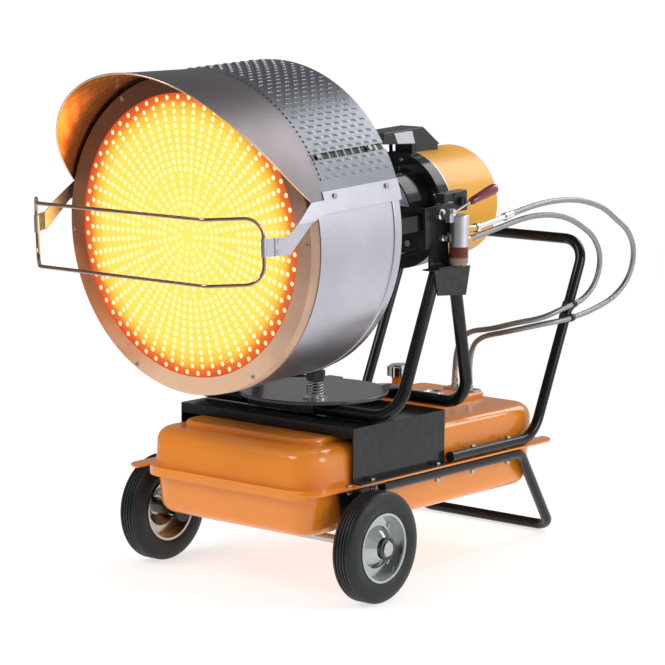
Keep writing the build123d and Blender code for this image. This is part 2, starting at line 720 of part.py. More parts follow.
def leg_tube():
    toe_x, toe_y = LEG_TOE
    points = [(TUBE_X, LEG_FRONT, LEG_Z), (TUBE_X, LEG_KNEE_Y, LEG_Z), (toe_x, toe_y, TUBE_R)]
    points += [(-x, y, z) for x, y, z in reversed(points)]
    radii = [LEG_BEND, TOE_BEND, TOE_BEND, LEG_BEND]
    tube = bent_tube(points, radii, TUBE_R, TUBE_R - TUBE_WALL)
    for side in (1, -1):
        for at in (FOOT_BOLT_AT[1],) + CLAMP_AT:
            tube -= Pos(side * TUBE_X, at, LEG_Z) * Cylinder(BOLT_R + BOLT_PLAY, 3 * TUBE_R)
    save("leg_tube", tube)


def tube_end_caps():
    caps = []
    for front, level in ((HANDLE_FRONT, HANDLE_Z), (LEG_FRONT, LEG_Z)):
        cap = rod((TUBE_X, front - 4, level), (TUBE_X, front - SEAT, level), TUBE_R)
        cap = fillet(cap.edges().group_by(Axis.Y)[0], 2)
        cap += rod((TUBE_X, front - 1, level), (TUBE_X, front + 10, level), TUBE_R - TUBE_WALL - FIT)
        caps.extend(pair(cap))
    save("tube_end_caps", *caps)


def clamp_bolts():
    foot_top = FLANGE_TOP + SADDLE_SHEET + 2 * SEAT
    leaf_low = FLANGE_LOW - 2 * SEAT - 3
    leg_low = LEG_Z - TUBE_R - SEAT
    handle_top = HANDLE_Z + TUBE_R + SEAT
    rows = [(BRACKET_BOLT_AT, FLANGE_TOP + SEAT, leaf_low), (FOOT_BOLT_AT[0], foot_top, leaf_low),
            (FOOT_BOLT_AT[1], foot_top, leg_low)]
    rows += [(at, handle_top, leg_low) for at in CLAMP_AT]
    made = []
    for at, top, low in rows:
        here = Pos(TUBE_X, at)
        bolt = along_z(here * hexagon(BOLT_HEAD), top, top + BOLT_HEAD_H)
        bolt += along_z(here * Circle(BOLT_R), low - NUT_H - 3, top + 1)
        nut = along_z(here * (hexagon(BOLT_HEAD) - Circle(BOLT_R + FIT)), low - NUT_H, low)
        made.extend(pair(bolt) + pair(nut))
    save("clamp_bolts", *made)


# ---------------------------------------------------------------- stand
def stand_frame(foot_y, lean):
    """A U of tube: crossbar under the disc, legs leaning to the apex."""
    high = APEX_TOP + 21
    top_y = foot_y + (high - CROSSBAR_Z) * lean
    points = [(STAND_X, top_y, high), (STAND_X, foot_y, CROSSBAR_Z)]
    points += [(-x, y, z) for x, y, z in reversed(points)]
    tube = bent_tube(points, [STAND_BEND, STAND_BEND], STAND_TUBE_R, STAND_TUBE_R - 2)
    return tube - block(-400, 400, -300, 300, APEX_TOP - SEAT, APEX_TOP + 60)


def stand_frames():
    front = stand_frame(FRONT_FOOT_Y, FRONT_LEAN)
    front -= Pos(BRAKE_X, FRONT_FOOT_Y, CROSSBAR_Z) * Cylinder(BRAKE_PIN_R + 0.4, 4 * STAND_TUBE_R)
    face = FRONT_FOOT_Y - STAND_TUBE_R
    skirt = block(-112, 84, face - 3 - SEAT, face - SEAT, 385, CROSSBAR_Z + STAND_TUBE_R)
    save("front_frame", front, skirt)
    save("rear_frame", stand_frame(REAR_FOOT_Y, REAR_LEAN))


def uprights():
    save("apex_brackets", *apex_brackets(), *yokes(), filter_strap())


def apex_brackets():
    outer = STAND_X + STAND_TUBE_R + SEAT
    side = outline((APEX_FRONT + 14, 664), (APEX_REAR - 14, 656),
                   (APEX_REAR, APEX_TOP), (APEX_FRONT, APEX_TOP))
    bracket = along_x(side, outer, outer + APEX_SHEET)
    bracket += block(YOKE_IN, outer + APEX_SHEET, APEX_FRONT, APEX_REAR, APEX_TOP, APEX_TOP + APEX_SHEET)
    return pair(bracket)


def yokes():
    low = APEX_TOP + APEX_SHEET + SEAT
    half = YOKE_R - 1
    face = outline((YOKE_FRONT, low), (YOKE_REAR, low), (YOKE_REAR, low + 20), (PIVOT_Y + half, PIVOT_Z),
                   (PIVOT_Y - half, PIVOT_Z), (YOKE_FRONT, low + 20))
    face += Pos(PIVOT_Y, PIVOT_Z) * Circle(YOKE_R)
    face -= Pos(PIVOT_Y, PIVOT_Z) * Circle(PIVOT_R + FIT)
    face -= Pos(*tilt_bolt()) * Circle(TILT_BOLT_R + FIT)
    yoke = along_x(face, YOKE_IN, YOKE_IN + YOKE_SHEET)
    yoke += block(YOKE_IN, STAND_X + 15, YOKE_FRONT, YOKE_REAR, low, low + 4)
    return pair(yoke)


def tilt_bolt():
    """The lock bolt stands under the pivot, a little behind it."""
    lean = math.radians(TILT_BOLT_LEAN)
    return (PIVOT_Y + TILT_BOLT_AT * math.sin(lean), PIVOT_Z - TILT_BOLT_AT * math.cos(lean))


def pivot_bolts():
    face = PLATE_X + PLATE_SHEET + RUN
    pieces = []
    for (y, z), radius, head in (((PIVOT_Y, PIVOT_Z), PIVOT_R, 13), (tilt_bolt(), TILT_BOLT_R, 9)):
        bolt = along_x(Pos(y, z) * Circle(radius), YOKE_IN + 0.1, face + 1)
        bolt += along_x(Pos(y, z) * Circle(head), face, face + 2)
        bolt += along_x(Pos(y, z) * hexagon(head - 2), face + 2, face + 8)
        pieces.extend(pair(bolt))
    save("pivot_bolts", *pieces)


def spring_path(start_z, gap_count):
    """A helix of biarcs, a quarter turn each, with a straight lead at each end."""
    rise = SPRING_PITCH / 4
    slope = SPRING_PITCH / (2 * math.pi * SPRING_MEAN_R)

    def point(step):
        angle = step * math.pi / 2
        return Vector(SPRING_MEAN_R * math.cos(angle), SPRING_MEAN_R * math.sin(angle), start_z + rise * step)

    def heading(step):
        angle = step * math.pi / 2
        return Vector(-math.sin(angle), math.cos(angle), slope).normalized()

    lead = 2 * SPRING_WIRE_R
    edges = [Line(point(0) - heading(0) * lead, point(0))]
    for step in range(gap_count):
        p, q, u, v = point(step), point(step + 1), heading(step), heading(step + 1)
        chord = q - p
        a = (u + v).dot(u + v) - 4
        b = -2 * chord.dot(u + v)
        c = chord.dot(chord)
        reach = (-b - math.sqrt(b * b - 4 * a * c)) / (2 * a)
        first, second = p + u * reach, q - v * reach
        middle = (first + second) * 0.5
        edges.append(TangentArc(p, middle, tangent=u))
        edges.append(TangentArc(middle, q, tangent=(second - first).normalized()))
    edges.append(Line(q, q + v * lead))
    return Wire([edge.edge() for edge in edges])


def brake():
    at = Pos(BRAKE_X, FRONT_FOOT_Y)
    top = DISC_TOP + 3
    guide = along_z(at * annulus(BRAKE_FLANGE_R, BRAKE_PIN_R + FIT), DISC_TOP + SEAT, top)
    guide += along_z(at * annulus(BRAKE_SLEEVE_R, BRAKE_PIN_R + FIT), top - 1, top + 14)
    save("brake_guide", guide)
    start = top + SPRING_WIRE_R + 0.6
    path = spring_path(start, 4 * SPRING_TURNS)
    coil = sweep(Plane(origin=path @ 0, z_dir=path % 0) * Circle(SPRING_WIRE_R), path=path)
    save("brake_spring", at * coil)
    climb = math.atan(SPRING_PITCH / (2 * math.pi * SPRING_MEAN_R))
    gap = min(SPRING_PITCH * math.cos(climb), 2 * SPRING_MEAN_R) - 2 * SPRING_WIRE_R
    print("spring least gap to itself", round(gap, 2))
    knob_low = start + SPRING_PITCH * SPRING_TURNS + SPRING_WIRE_R + 0.6
    lobes = Circle(KNOB_R - 3)
    for place in PolarLocations(KNOB_R - 6, 6):
        lobes += place * Circle(6)
    knob = along_z(at * lobes, knob_low + 5, knob_low + KNOB_H)
    knob = fillet(knob.edges().group_by(Axis.Z)[-1], 3)
    knob += along_z(at * Circle(KNOB_R - 3), knob_low, knob_low + 6)
    knob += along_z(at * Circle(BRAKE_PIN_R), BRAKE_REST_Z, knob_low + 2)
    save("brake_knob", knob)


# ---------------------------------------------------------------- filter, valve, hoses

def filter_strap():
    """The angle that carries the fuel filter on the bracket."""
    low = APEX_TOP + APEX_SHEET + SEAT
    face = FILTER_X - FILTER_R
    front, rear = FILTER_Y + STRAP_FROM, FILTER_Y + STRAP_TO
    strap = block(face - STRAP_SHEET, face, front, rear, low, FILTER_HIGH)
    return strap + block(face - STRAP_SHEET, face + 15, front, rear, low, low + STRAP_SHEET - SEAT)


def filter_unit():
    at = Pos(FILTER_X, FILTER_Y)
    strap_x = FILTER_X - FILTER_R
    head = along_z(at * Circle(FILTER_R), FILTER_LOW, FILTER_HIGH)
    head = fillet(head.edges().group_by(Axis.Z)[-1], 4)
    boss_from, boss_to = FILTER_Y - 1, FILTER_Y + 19
    head += block(strap_x + SEAT, FILTER_X - 8, boss_from, boss_to, FILTER_LOW + 20, FILTER_HIGH - 12)
    neck_y = FILTER_Y - FILTER_R + 3
    head += block(FILTER_X - 10, LEVER_X - 3, VALVE_Y - 10, neck_y, VALVE_Z - 22, VALVE_Z + 8)
    head += rod((FILTER_X, VALVE_Y, VALVE_Z), (LEVER_X + 3.5, VALVE_Y, VALVE_Z), 3)
    bowl = along_z(at * Circle(BOWL_R), BOWL_LOW, FILTER_LOW - SEAT)
    bowl = fillet(bowl.edges().group_by(Axis.Z)[0], 8)
    bowl -= along_z(at * Circle(BOWL_R - 2), BOWL_LOW + 4, FILTER_LOW)
    save("filter_bowl", bowl)
    save("filter_head", head, along_z(at * annulus(11, 4), BOWL_LOW + 8, FILTER_LOW - SEAT))
    back = FILTER_Y + FILTER_R - 2
    brass = rod((FILTER_X, back + 2 + SEAT, OUTLET_Z), (FILTER_X, back + 10, OUTLET_Z), 10)
    brass += rod((FILTER_X, back + 9, OUTLET_Z), (FILTER_X, back + 40, OUTLET_Z), 8)
    sleeve_end = (SUPPLY_ROUTE[0][0], SUPPLY_ROUTE[0][1] - 14, SUPPLY_ROUTE[0][2] - 2.3)
    sleeve = rod((FILTER_X, back + 40 + SEAT, OUTLET_Z), (FILTER_X, back + 50, OUTLET_Z), 10.5)
    start = (FILTER_X, back + 48, OUTLET_Z)
    run = Vector(*sleeve_end) - Vector(*start)
    sleeve += rod(start, sleeve_end, 6.5)
    for reach, radius in ((0.86, 9.5), (0.94, 8.5)):
        here = Vector(*start) + run * reach
        sleeve += rod(tuple(here), tuple(here + run.normalized() * 8), radius)
    first = Vector(*SUPPLY_ROUTE[0])
    line = (Vector(*SUPPLY_ROUTE[1]) - first).normalized()
    sleeve += rod(tuple(first - line * 15), tuple(first), 8)
    save("supply_coupling", sleeve)
    first = Vector(*RETURN_ROUTE[0])
    line = (Vector(*RETURN_ROUTE[1]) - first).normalized()
    nipple = rod(tuple(first - line * 24), tuple(first), 8)
    nipple += rod(tuple(first - line * 14), tuple(first - line * 4), 10)
    save("filter_nipples", brass, nipple - along_z(at * Circle(FILTER_R + SEAT), BOWL_LOW, FILTER_HIGH))


def valve_lever():
    hub = along_x(Pos(VALVE_Y, VALVE_Z) * annulus(7, 3 + FIT), LEVER_X - 2.5, LEVER_X + 2.5)
    grip_start = (LEVER_X, *GRIP_START)
    grip_end = (LEVER_X, *GRIP_END)
    stem = rod((LEVER_X, VALVE_Y + 5, VALVE_Z + 2), grip_start, 2.4)
    save("valve_lever", hub + stem)
    run = (Vector(*grip_end) - Vector(*grip_start)).normalized()
    grip = rod(grip_start, grip_end, GRIP_R)
    grip = fillet(grip.edges().filter_by(GeomType.CIRCLE), 4)
    inset = rod(tuple(Vector(*grip_start) - run), tuple(Vector(*grip_start) + run * 0.5), 2.6)
    save("valve_grip", grip - inset)


def report_route(name, points, radii, solid):
    """Print a hose's arc radii and compare its volume with section times length."""
    path = FilletPolyline(*points, radius=radii)
    expected = math.pi * HOSE_R ** 2 * path.length
    print(name, "radii", [round(radius) for radius in radii])
    print(name, "length", round(path.length, 1), "volume ratio", round(solid.volume / expected, 5))


def route_radii(points):
    """A set share of the shorter run, divided by the tangent of half the turn."""
    spots = [Vector(*point) for point in points]
    radii = []
    for before, here, after in zip(spots, spots[1:], spots[2:]):
        turn = math.radians((here - before).get_angle(after - here))
        shorter = min((here - before).length, (after - here).length)
        radii.append(BEND_SHARE * shorter / math.tan(turn / 2))
    return radii


def hoses():
    for name, points in (("supply_hose", SUPPLY_ROUTE), ("return_hose", RETURN_ROUTE)):
        radii = route_radii(points)
        hose = bent_tube(points, radii, HOSE_R)
        report_route(name, points, radii, hose)
        save(name, hose, cord=True)


def hose_clips():
    top_y, top_z = HANDLE_TOP
    slope = Vector(0, top_y - HANDLE_FOOT_Y, top_z - HANDLE_Z).normalized()
    clips = []
    for (x, y, z), route in zip(CLIP_AT, (SUPPLY_ROUTE[13:15], RETURN_ROUTE[11:13])):
        on_tube = Vector(TUBE_X, HANDLE_FOOT_Y, HANDLE_Z)
        on_tube = on_tube + slope * ((Vector(x, y, z) - on_tube).dot(slope))
        band = rod(tuple(on_tube - slope * 7), tuple(on_tube + slope * 7), TUBE_R + CLIP_WALL)
        line = (Vector(*route[0]) - Vector(*route[1])).normalized()
        here = Vector(x, y, z)
        eye = rod(tuple(here - line * 5), tuple(here + line * 5), HOSE_R + CLIP_WALL)
        bridge = rod(tuple(on_tube), tuple(here), 5)
        clip = band + eye + bridge - rod(tuple(here - line * 30), tuple(here + line * 30), HOSE_R + 0.7)
        clip -= rod(tuple(on_tube - slope * 30), tuple(on_tube + slope * 30), TUBE_R + FIT)
        clips.append(clip)
    save("hose_clips", *clips)


# ---------------------------------------------------------------- heating head
def drum():
    shell = along_y(annulus(SHELL_OUT, SHELL_IN), RING_LIP - 2, DRUM_LENGTH)
    bead = revolve(Pos(SHELL_OUT - 0.2, 280) * Circle(3.2), Axis.Y)
    shell += bead - along_y(Circle(SHELL_OUT - 0.5), 270, 290)
    save("drum_shell", HEAD * shell)
    ring = annulus(DRUM_R, RING_IN)
    disc = Circle(EMITTER_R)
    screws = []
    for place in PolarLocations(SCREW_AT, 6, start_angle=SCREW_TURN):
        at = Pos(place.position.X, place.position.Y)
        ring -= at * Circle(SCREW_R + FIT)
        disc -= at * Circle(SCREW_R + FIT)
        screw = along_y(at * Circle(SCREW_HEAD_R), -2.6, -SEAT)
        screw = fillet(screw.edges().group_by(Axis.Y)[0], 1.5)
        screws.append(HEAD * (screw + along_y(at * Circle(SCREW_R), -1, 7)))
    front = along_y(ring, 0, RING_SHEET) + along_y(annulus(DRUM_R, DRUM_R - RING_SHEET), 1, RING_LIP)
    save("front_ring", HEAD * front)
    for level in range(1, 10):
        for place in PolarLocations(EMITTER_STEP * level, 6 * level):
            disc -= Pos(place.position.X, place.position.Y) * Circle(EMITTER_HOLE)
    face = RING_SHEET + SEAT
    save("emitter_disc", HEAD * along_y(disc, face, face + EMITTER_SHEET))
    head_screws.extend(screws)


def rear_cover():
    hole = Pos(0, BURNER_Z) * Circle(NECK_R + SEAT)
    back = DRUM_LENGTH - 4
    cover = along_y(Circle(DRUM_R) - hole, back, back + 2)
    cover += along_y(annulus(DRUM_R, DRUM_R - 2), back + 1, DRUM_LENGTH)
    save("rear_cover", HEAD * cover)
    at = Pos(0, BURNER_Z)
    chamber = along_y(at * annulus(CHAMBER_R, CHAMBER_R - 2), 40, back - SEAT)
    chamber += along_y(at * annulus(CHAMBER_R + 20, CHAMBER_R - 2), back - 2, back - SEAT)
    save("flame_chamber", HEAD * chamber)


def top_cover():
    size = 180 - 2 * COVER_FROM
    cover = along_y(sheet_arc(COVER_R, COVER_R - COVER_SHEET, COVER_FROM, size), COVER_FRONT, DRUM_LENGTH + 1)
    clips = []
    for angle, top in ((CLIP_ANGLE, COVER_R), (STRIP_BOLT_ANGLE, COVER_R + STRIP_SHEET + SEAT)):
        for place in (CLIP_AT_S if top == COVER_R else STRIP_BOLT_AT_S):
            out = Vector(math.cos(math.radians(angle)), 0, math.sin(math.radians(angle)))
            foot = Vector(0, place, 0)
            ends = [tuple(foot + out * (COVER_R + reach)) for reach in (-4, 4)]
            bore = rod(*ends, STRIP_BOLT_R + FIT)
            for cut in pair(bore):
                cover -= cut
            inner = COVER_R - COVER_SHEET - SEAT - 0.1
            clip = rod(tuple(foot + out * (SHELL_OUT + 0.1)), tuple(foot + out * inner), 7)
            clip += rod(tuple(foot + out * (inner - 1)), tuple(foot + out * (top + 1)), STRIP_BOLT_R)
            clip += rod(tuple(foot + out * (top + 0.1)), tuple(foot + out * (top + 3.5)), 6)
            clips.extend(pair(clip))
    save("top_cover", HEAD * cover)
    head_screws.extend([HEAD * clip for clip in clips])


def visor_band():
    """A flared hood: its rim sweeps from the sides up and forward to the top."""
    sheet = COVER_SHEET
    back = COVER_FRONT - RUN
    tuck = COVER_R - VISOR_TUCK
    rim_s = VISOR_REACH - 2
    section = outline((VISOR_RIM_R, rim_s), (COVER_R, back), (tuck, back), (tuck, back + 16),
                      (tuck - sheet, back + 16), (tuck - sheet, back - 8), (VISOR_RIM_R - sheet, rim_s))
    shell = revolve(section, Axis.Y)
    top = VISOR_RIM_R
    middle = (VISOR_LOW + top) / 2
    heel = (VISOR_HEEL, VISOR_LOW)
    peak = (VISOR_REACH, top + 5)
    corner = (COVER_FRONT + 40, top + 5)
    foot = (COVER_FRONT + 40, VISOR_LOW)
    rim = ThreePointArc(heel, (VISOR_MIDDLE, middle), (VISOR_REACH, top))
    side = make_face([rim, Line(rim @ 1, peak), Line(peak, corner), Line(corner, foot), Line(foot, heel)])
    save("visor_band", HEAD * (shell & along_x(side, -400, 400)))


def on_tab(along, out):
    """A point of the arm's bent tab: along it towards the wire, and out from its inner face."""
    run = (Vector(GUARD_END_X + 5.6, GUARD_END_Y + 2) - TAB_START).normalized()
    spot = TAB_START + run * along + Vector(-run.Y, run.X) * out
    return (spot.X, spot.Y)


def tab_rod(level, low, high, radius):
    """A pin through the bent tab, square to its face."""
    return rod((*on_tab(TAB_RIVETS, low), level), (*on_tab(TAB_RIVETS, high), level), radius)


def guard_arm():
    """The strip's front end: it follows the drum, drops straight and turns in to the wire."""
    inner = COVER_R + SEAT
    outer = inner + STRIP_SHEET
    bend = math.degrees(math.asin(ARM_FOLD / inner))
    inner_x = inner * math.cos(math.radians(bend))
    profile = sheet_arc(outer, inner, bend - 0.2, STRIP_TO - bend)
    outer_x = inner_x + STRIP_SHEET
    profile += outline((inner_x, ARM_FOLD), (inner_x, -10), (outer_x, -10), (outer_x, ARM_FOLD))
    front, rear = ARM_SHAPE[1][0], ARM_SHAPE[-1][0]
    arm = along_y(profile, front, rear) & along_x(outline(*ARM_SHAPE), ARM_X - 20, ARM_X + 20)
    tab = outline((inner_x, front + 4), (inner_x, front - 0.5), on_tab(TAB_LENGTH, SEAT),
                  on_tab(TAB_LENGTH, SEAT + STRIP_SHEET), (inner_x + STRIP_SHEET, front - 1),
                  (inner_x + STRIP_SHEET, front + 4))
    arm += along_z(tab, 0, CLIP_TALL)
    for level in RIVET_H:
        arm -= tab_rod(level, -5, 10, RIVET_R + FIT)
    return arm


def side_strips():
    inner = COVER_R + SEAT
    strip = sheet_arc(inner + STRIP_SHEET, inner, COVER_FROM - 0.1, STRIP_TO - COVER_FROM)
    piece = along_y(strip, COVER_FRONT, DRUM_LENGTH + 1) + guard_arm()
    for place in STRIP_BOLT_AT_S:
        angle = math.radians(STRIP_BOLT_ANGLE)
        out = Vector(math.cos(angle), 0, math.sin(angle))
        foot = Vector(0, place, 0)
        ends = [tuple(foot + out * (COVER_R + reach)) for reach in (-4, 6)]
        piece -= rod(*ends, STRIP_BOLT_R + FIT)
    save("side_strips", *[HEAD * solid for solid in pair(piece)])


def guard():
    mid_low = (0, GUARD_Y, GUARD_LOW)
    points = [(0, GUARD_Y, GUARD_HIGH), (GUARD_HALF, GUARD_Y, GUARD_HIGH),
              (GUARD_END_X, GUARD_END_Y, GUARD_HIGH), (GUARD_END_X, GUARD_END_Y, GUARD_LOW),
              (GUARD_HALF, GUARD_Y, GUARD_LOW), mid_low]
    half = bent_tube(points, [30, 40, 40, 30], GUARD_WIRE_R)
    save("guard_loop", HEAD * (half + mirror(half, about=Plane.YZ)))


def guard_clips():
    """Each clip wraps the wire and is riveted behind the arm's bent tab."""
    tab_reach = (Vector(GUARD_END_X + 5.6, GUARD_END_Y + 2) - TAB_START).length
    wire = Pos(GUARD_END_X, GUARD_END_Y)
    leaf = outline(on_tab(4, 0), on_tab(tab_reach, 0), on_tab(tab_reach, -2), on_tab(4, -2))
    sleeve = wire * Circle(GUARD_WIRE_R + 2)
    clip = along_z(leaf, 0, CLIP_TALL) + along_z(sleeve, 0, CLIP_TALL)
    clip -= along_z(wire * Circle(GUARD_WIRE_R + FIT), -1, CLIP_TALL + 1)
    rivets = []
    outside = SEAT + STRIP_SHEET
    for level in RIVET_H:
        clip -= tab_rod(level, -5, 5, RIVET_R + FIT)
        rivet = tab_rod(level, -2.5, outside + 0.5, RIVET_R)
        rivet += tab_rod(level, outside + SEAT, outside + 1.5, RIVET_R + 2)
        rivet += tab_rod(level, -3.5, -2 - SEAT, RIVET_R + 1.5)
        rivets.extend(pair(rivet))
    save("guard_clips", *[HEAD * solid for solid in pair(clip) + rivets])


# ---------------------------------------------------------------- burner
def ring_at(outer, inner, start, end):
    """A round wall about the burner axis."""
    return along_y(Pos(0, BURNER_Z) * annulus(outer, inner), start, end)


def neck():
    front = DRUM_LENGTH - 2 + SEAT
    tube = ring_at(NECK_R, NECK_R - NECK_SHEET, front, HOUSING_START - SEAT)
    tube += ring_at(NECK_R + 16, NECK_R - 1, front, front + 3)
    tube += ring_at(NECK_R + 14, NECK_R - 1, HOUSING_START - 3, HOUSING_START - SEAT)
    save("burner_neck", HEAD * tube)


def pivot_plates():
    front = DRUM_LENGTH + RUN
    leaf_s = 449
    web = outline((leaf_s, -66), (530, -66), (548, -48), (548, 26), (leaf_s, 26))
    web -= Pos(PIVOT_S, PIVOT_H) * Circle(PIVOT_R + 0.1)
    at = Pos(PIVOT_S, PIVOT_H)
    slot_half = TILT_BOLT_R + 0.4
    rest = -90 + TILT_BOLT_LEAN - NOSE_DOWN
    sweep_angle = TILT_RANGE + 2 * SLOT_END
    slot = sheet_arc(TILT_BOLT_AT + slot_half, TILT_BOLT_AT - slot_half, rest - SLOT_END, sweep_angle)
    web -= at * slot
    plate = along_x(web, PLATE_X, PLATE_X + PLATE_SHEET)
    edge = NECK_R + RUN
    far = PLATE_X + PLATE_SHEET
    leaf = outline((edge, -80), (150, -96), (far, -66), (far, 26), (150, 26), (edge, -5))
    plate += along_y(leaf, leaf_s, leaf_s + PLATE_SHEET)
    low, top = RAIL_H
    rail_in, rail_out = RAIL_X - RAIL_WIDTH, RAIL_X + PLATE_SHEET
    angle = outline((RAIL_X, low), (rail_out, low), (rail_out, top), (rail_in, top),
                    (rail_in, top - 4), (RAIL_X, top - 4))
    plate += along_y(angle, front, 560)
    end = outline((rail_in, low), (rail_out, low), (rail_out, top), (rail_in, top))
    plate += along_y(end, front, front + PLATE_SHEET)
    bolts = []
    for x, h in ((259, -55), (130, -70), (130, 8)):
        bolt = along_y(Pos(x, h) * hexagon(8), leaf_s - 6, leaf_s - SEAT)
        bolt += along_y(Pos(x, h) * Circle(4), leaf_s - 2, leaf_s + 12)
        bolts.extend(pair(bolt))
        plate -= along_y(Pos(x, h) * Circle(4 + FIT), leaf_s - 2, leaf_s + 12)
    save("pivot_plates", *[HEAD * solid for solid in pair(plate)])
    head_screws.extend([HEAD * solid for solid in bolts])


def housing():
    wall = 2
    body = ring_at(HOUSING_R, BLAST_R + FIT, HOUSING_START, HOUSING_START + wall)
    body += ring_at(HOUSING_R, HOUSING_R - wall, HOUSING_START + 1, FLANGE_START + 1)
    body += ring_at(FLANGE_R, HOUSING_R - wall, FLANGE_START, FLANGE_START + wall)
    body += ring_at(FLANGE_R, FLANGE_R - wall, FLANGE_START + 1, PLATE_START - SEAT)
    screws = []
    for place in PolarLocations(124, 6, start_angle=20):
        at = Pos(place.position.X, place.position.Y + BURNER_Z)
        body -= along_y(at * Circle(3 + FIT), FLANGE_START - 1, FLANGE_START + wall + 1)
        head = along_y(at * Circle(5.5), FLANGE_START - 4, FLANGE_START - SEAT)
        head = fillet(head.edges().group_by(Axis.Y)[0], 2)
        screws.append(HEAD * (head + along_y(at * Circle(3), FLANGE_START - 1, FLANGE_START + 10)))
    save("burner_housing", HEAD * body)
    head_screws.extend(screws)
    tube = ring_at(BLAST_R, BLAST_R - wall, 380, HOUSING_START + 6)
    tube += ring_at(BLAST_R + 12, BLAST_R - 1, HOUSING_START - 3, HOUSING_START - SEAT)
    blast = HEAD * tube
    nozzle = ring_at(9, 1.5, 400, 440) + ring_at(4, 2, 438, HOUSING_START - 20)
    for turn in (0, 120, 240):
        spoke = Pos(0, 430, BURNER_Z) * Rot(0, turn, 0) * block(-1.5, 1.5, -6, 6, 7, BLAST_R - wall - FIT)
        nozzle += spoke
    save("blast_tube", blast, HEAD * nozzle)


def motor_group():
    plate = ring_at(FLANGE_R, SHAFT_R + 6, PLATE_START, COVER_START - SEAT)
    for turn in range(8):
        place = Pos(100 * math.cos(turn * math.pi / 4), BURNER_Z + 100 * math.sin(turn * math.pi / 4))
        plate -= along_y(place * Circle(14), PLATE_START - 1, COVER_START + 1)
    motor = ring_at(MOTOR_R, SHAFT_R + 0.1, COVER_START, MOTOR_END)
    rims = motor.edges().filter_by(GeomType.CIRCLE).filter_by(lambda edge: edge.radius > MOTOR_R - 1)
    motor = fillet(rims.group_by(Axis.Y)[-1], MOTOR_EDGE)
    pump = ring_at(PUMP_R, SHAFT_R + 0.1, MOTOR_END + SEAT, PUMP_END - 10)
    pump += along_y(Pos(0, BURNER_Z) * Circle(PUMP_R), PUMP_END - 12, PUMP_END)
    pump += along_y(Pos(34, BURNER_Z) * Circle(8), MOTOR_END + 12, MOTOR_END + 28)
    save("motor", *[HEAD * piece for piece in (plate, motor, pump)])
    shaft = along_y(Pos(0, BURNER_Z) * Circle(SHAFT_R), 692, MOTOR_END + 30)
    wheel = ring_at(FAN_R, SHAFT_R + FIT, 726, 728)
    wheel += ring_at(14, SHAFT_R + FIT, 700, 727)
    wheel += ring_at(FAN_R, FAN_R - 16, 672, 674)
    for turn in range(24):
        place = Pos(0, 0, BURNER_Z) * Rot(0, 15 * turn, 0) * Pos(FAN_R - 8.5, 0, 0) * Rot(0, BLADE_TURN, 0)
        wheel += place * block(-7.5, 7.5, 673, 727, -0.8, 0.8)
    save("fan", HEAD * wheel, HEAD * shaft)


def cover_profile(inset):
    """Half of the cover's section, drawn as radius and distance back."""
    wide = FLANGE_R - inset
    narrow = COVER_END_R - inset
    rear = COVER_END - inset
    knee = (narrow, COVER_END - 24)
    turn = (COVER_END_R - 6 - 0.75 * inset, COVER_END - 11 - 0.7 * inset)
    brow = (COVER_END_R - 20 - 0.25 * inset, COVER_END - 5 - inset)
    return make_face([Line((0, COVER_START), (wide, COVER_START)), Line((wide, COVER_START), knee),
                      ThreePointArc(knee, turn, brow), ThreePointArc(brow, (60, rear - 1), (0, rear)),
                      Line((0, rear), (0, COVER_START))])


def burner_cover():
    shell = revolve(cover_profile(0), Axis.Y) - revolve(cover_profile(COVER_WALL), Axis.Y)
    for row in range(SLOT_ROWS):
        level = SLOT_STEP * (row - (SLOT_ROWS - 1) / 2)
        half = math.sqrt(SLOT_FIELD_R ** 2 - level ** 2)
        slot = Pos(0, level) * RectangleRounded(2 * half, 6, 2.9)
        shell -= along_y(slot, COVER_END - 16, COVER_END + 4)
    save("burner_cover", HEAD * Pos(0, 0, BURNER_Z) * shell)


def ignition_box():
    top_front, top_rear = BOX_TOP_S
    ceiling = BOX_HIGH - BOX_WALL
    front_s, front_h = BOX_FLOOR[0]
    rear_s, rear_h = BOX_FLOOR[-1]
    shape = outline(*BOX_FLOOR, (top_rear, BOX_HIGH), (top_front, BOX_HIGH))
    hollow = outline((front_s + 4, rear_h - 10), (rear_s + 8.5, rear_h - 10), (top_rear - 2.3, ceiling),
                     (top_front + BOX_WALL, ceiling))
    box = along_x(shape, -BOX_HALF, BOX_HALF)
    box = fillet(box.edges().filter_by(lambda edge: edge.length > 40 and edge.center().Z > front_h + 1), 3)
    box -= along_x(hollow, BOX_WALL - BOX_HALF, BOX_HALF - BOX_WALL)
    box -= along_y(Pos(0, BURNER_Z) * Circle(FLANGE_R + SEAT), front_s - 10, rear_s + 10)
    transformer = block(-28, 28, 672, 768, BURNER_Z + FLANGE_R + 28, ceiling - SEAT)
    plate = along_x(outline((702, 128), (767, 122), (757, 153), (688, 154)), BOX_HALF + SEAT, BOX_HALF + 1)
    save("ignition_box", *[HEAD * piece for piece in (box, transformer, plate)])


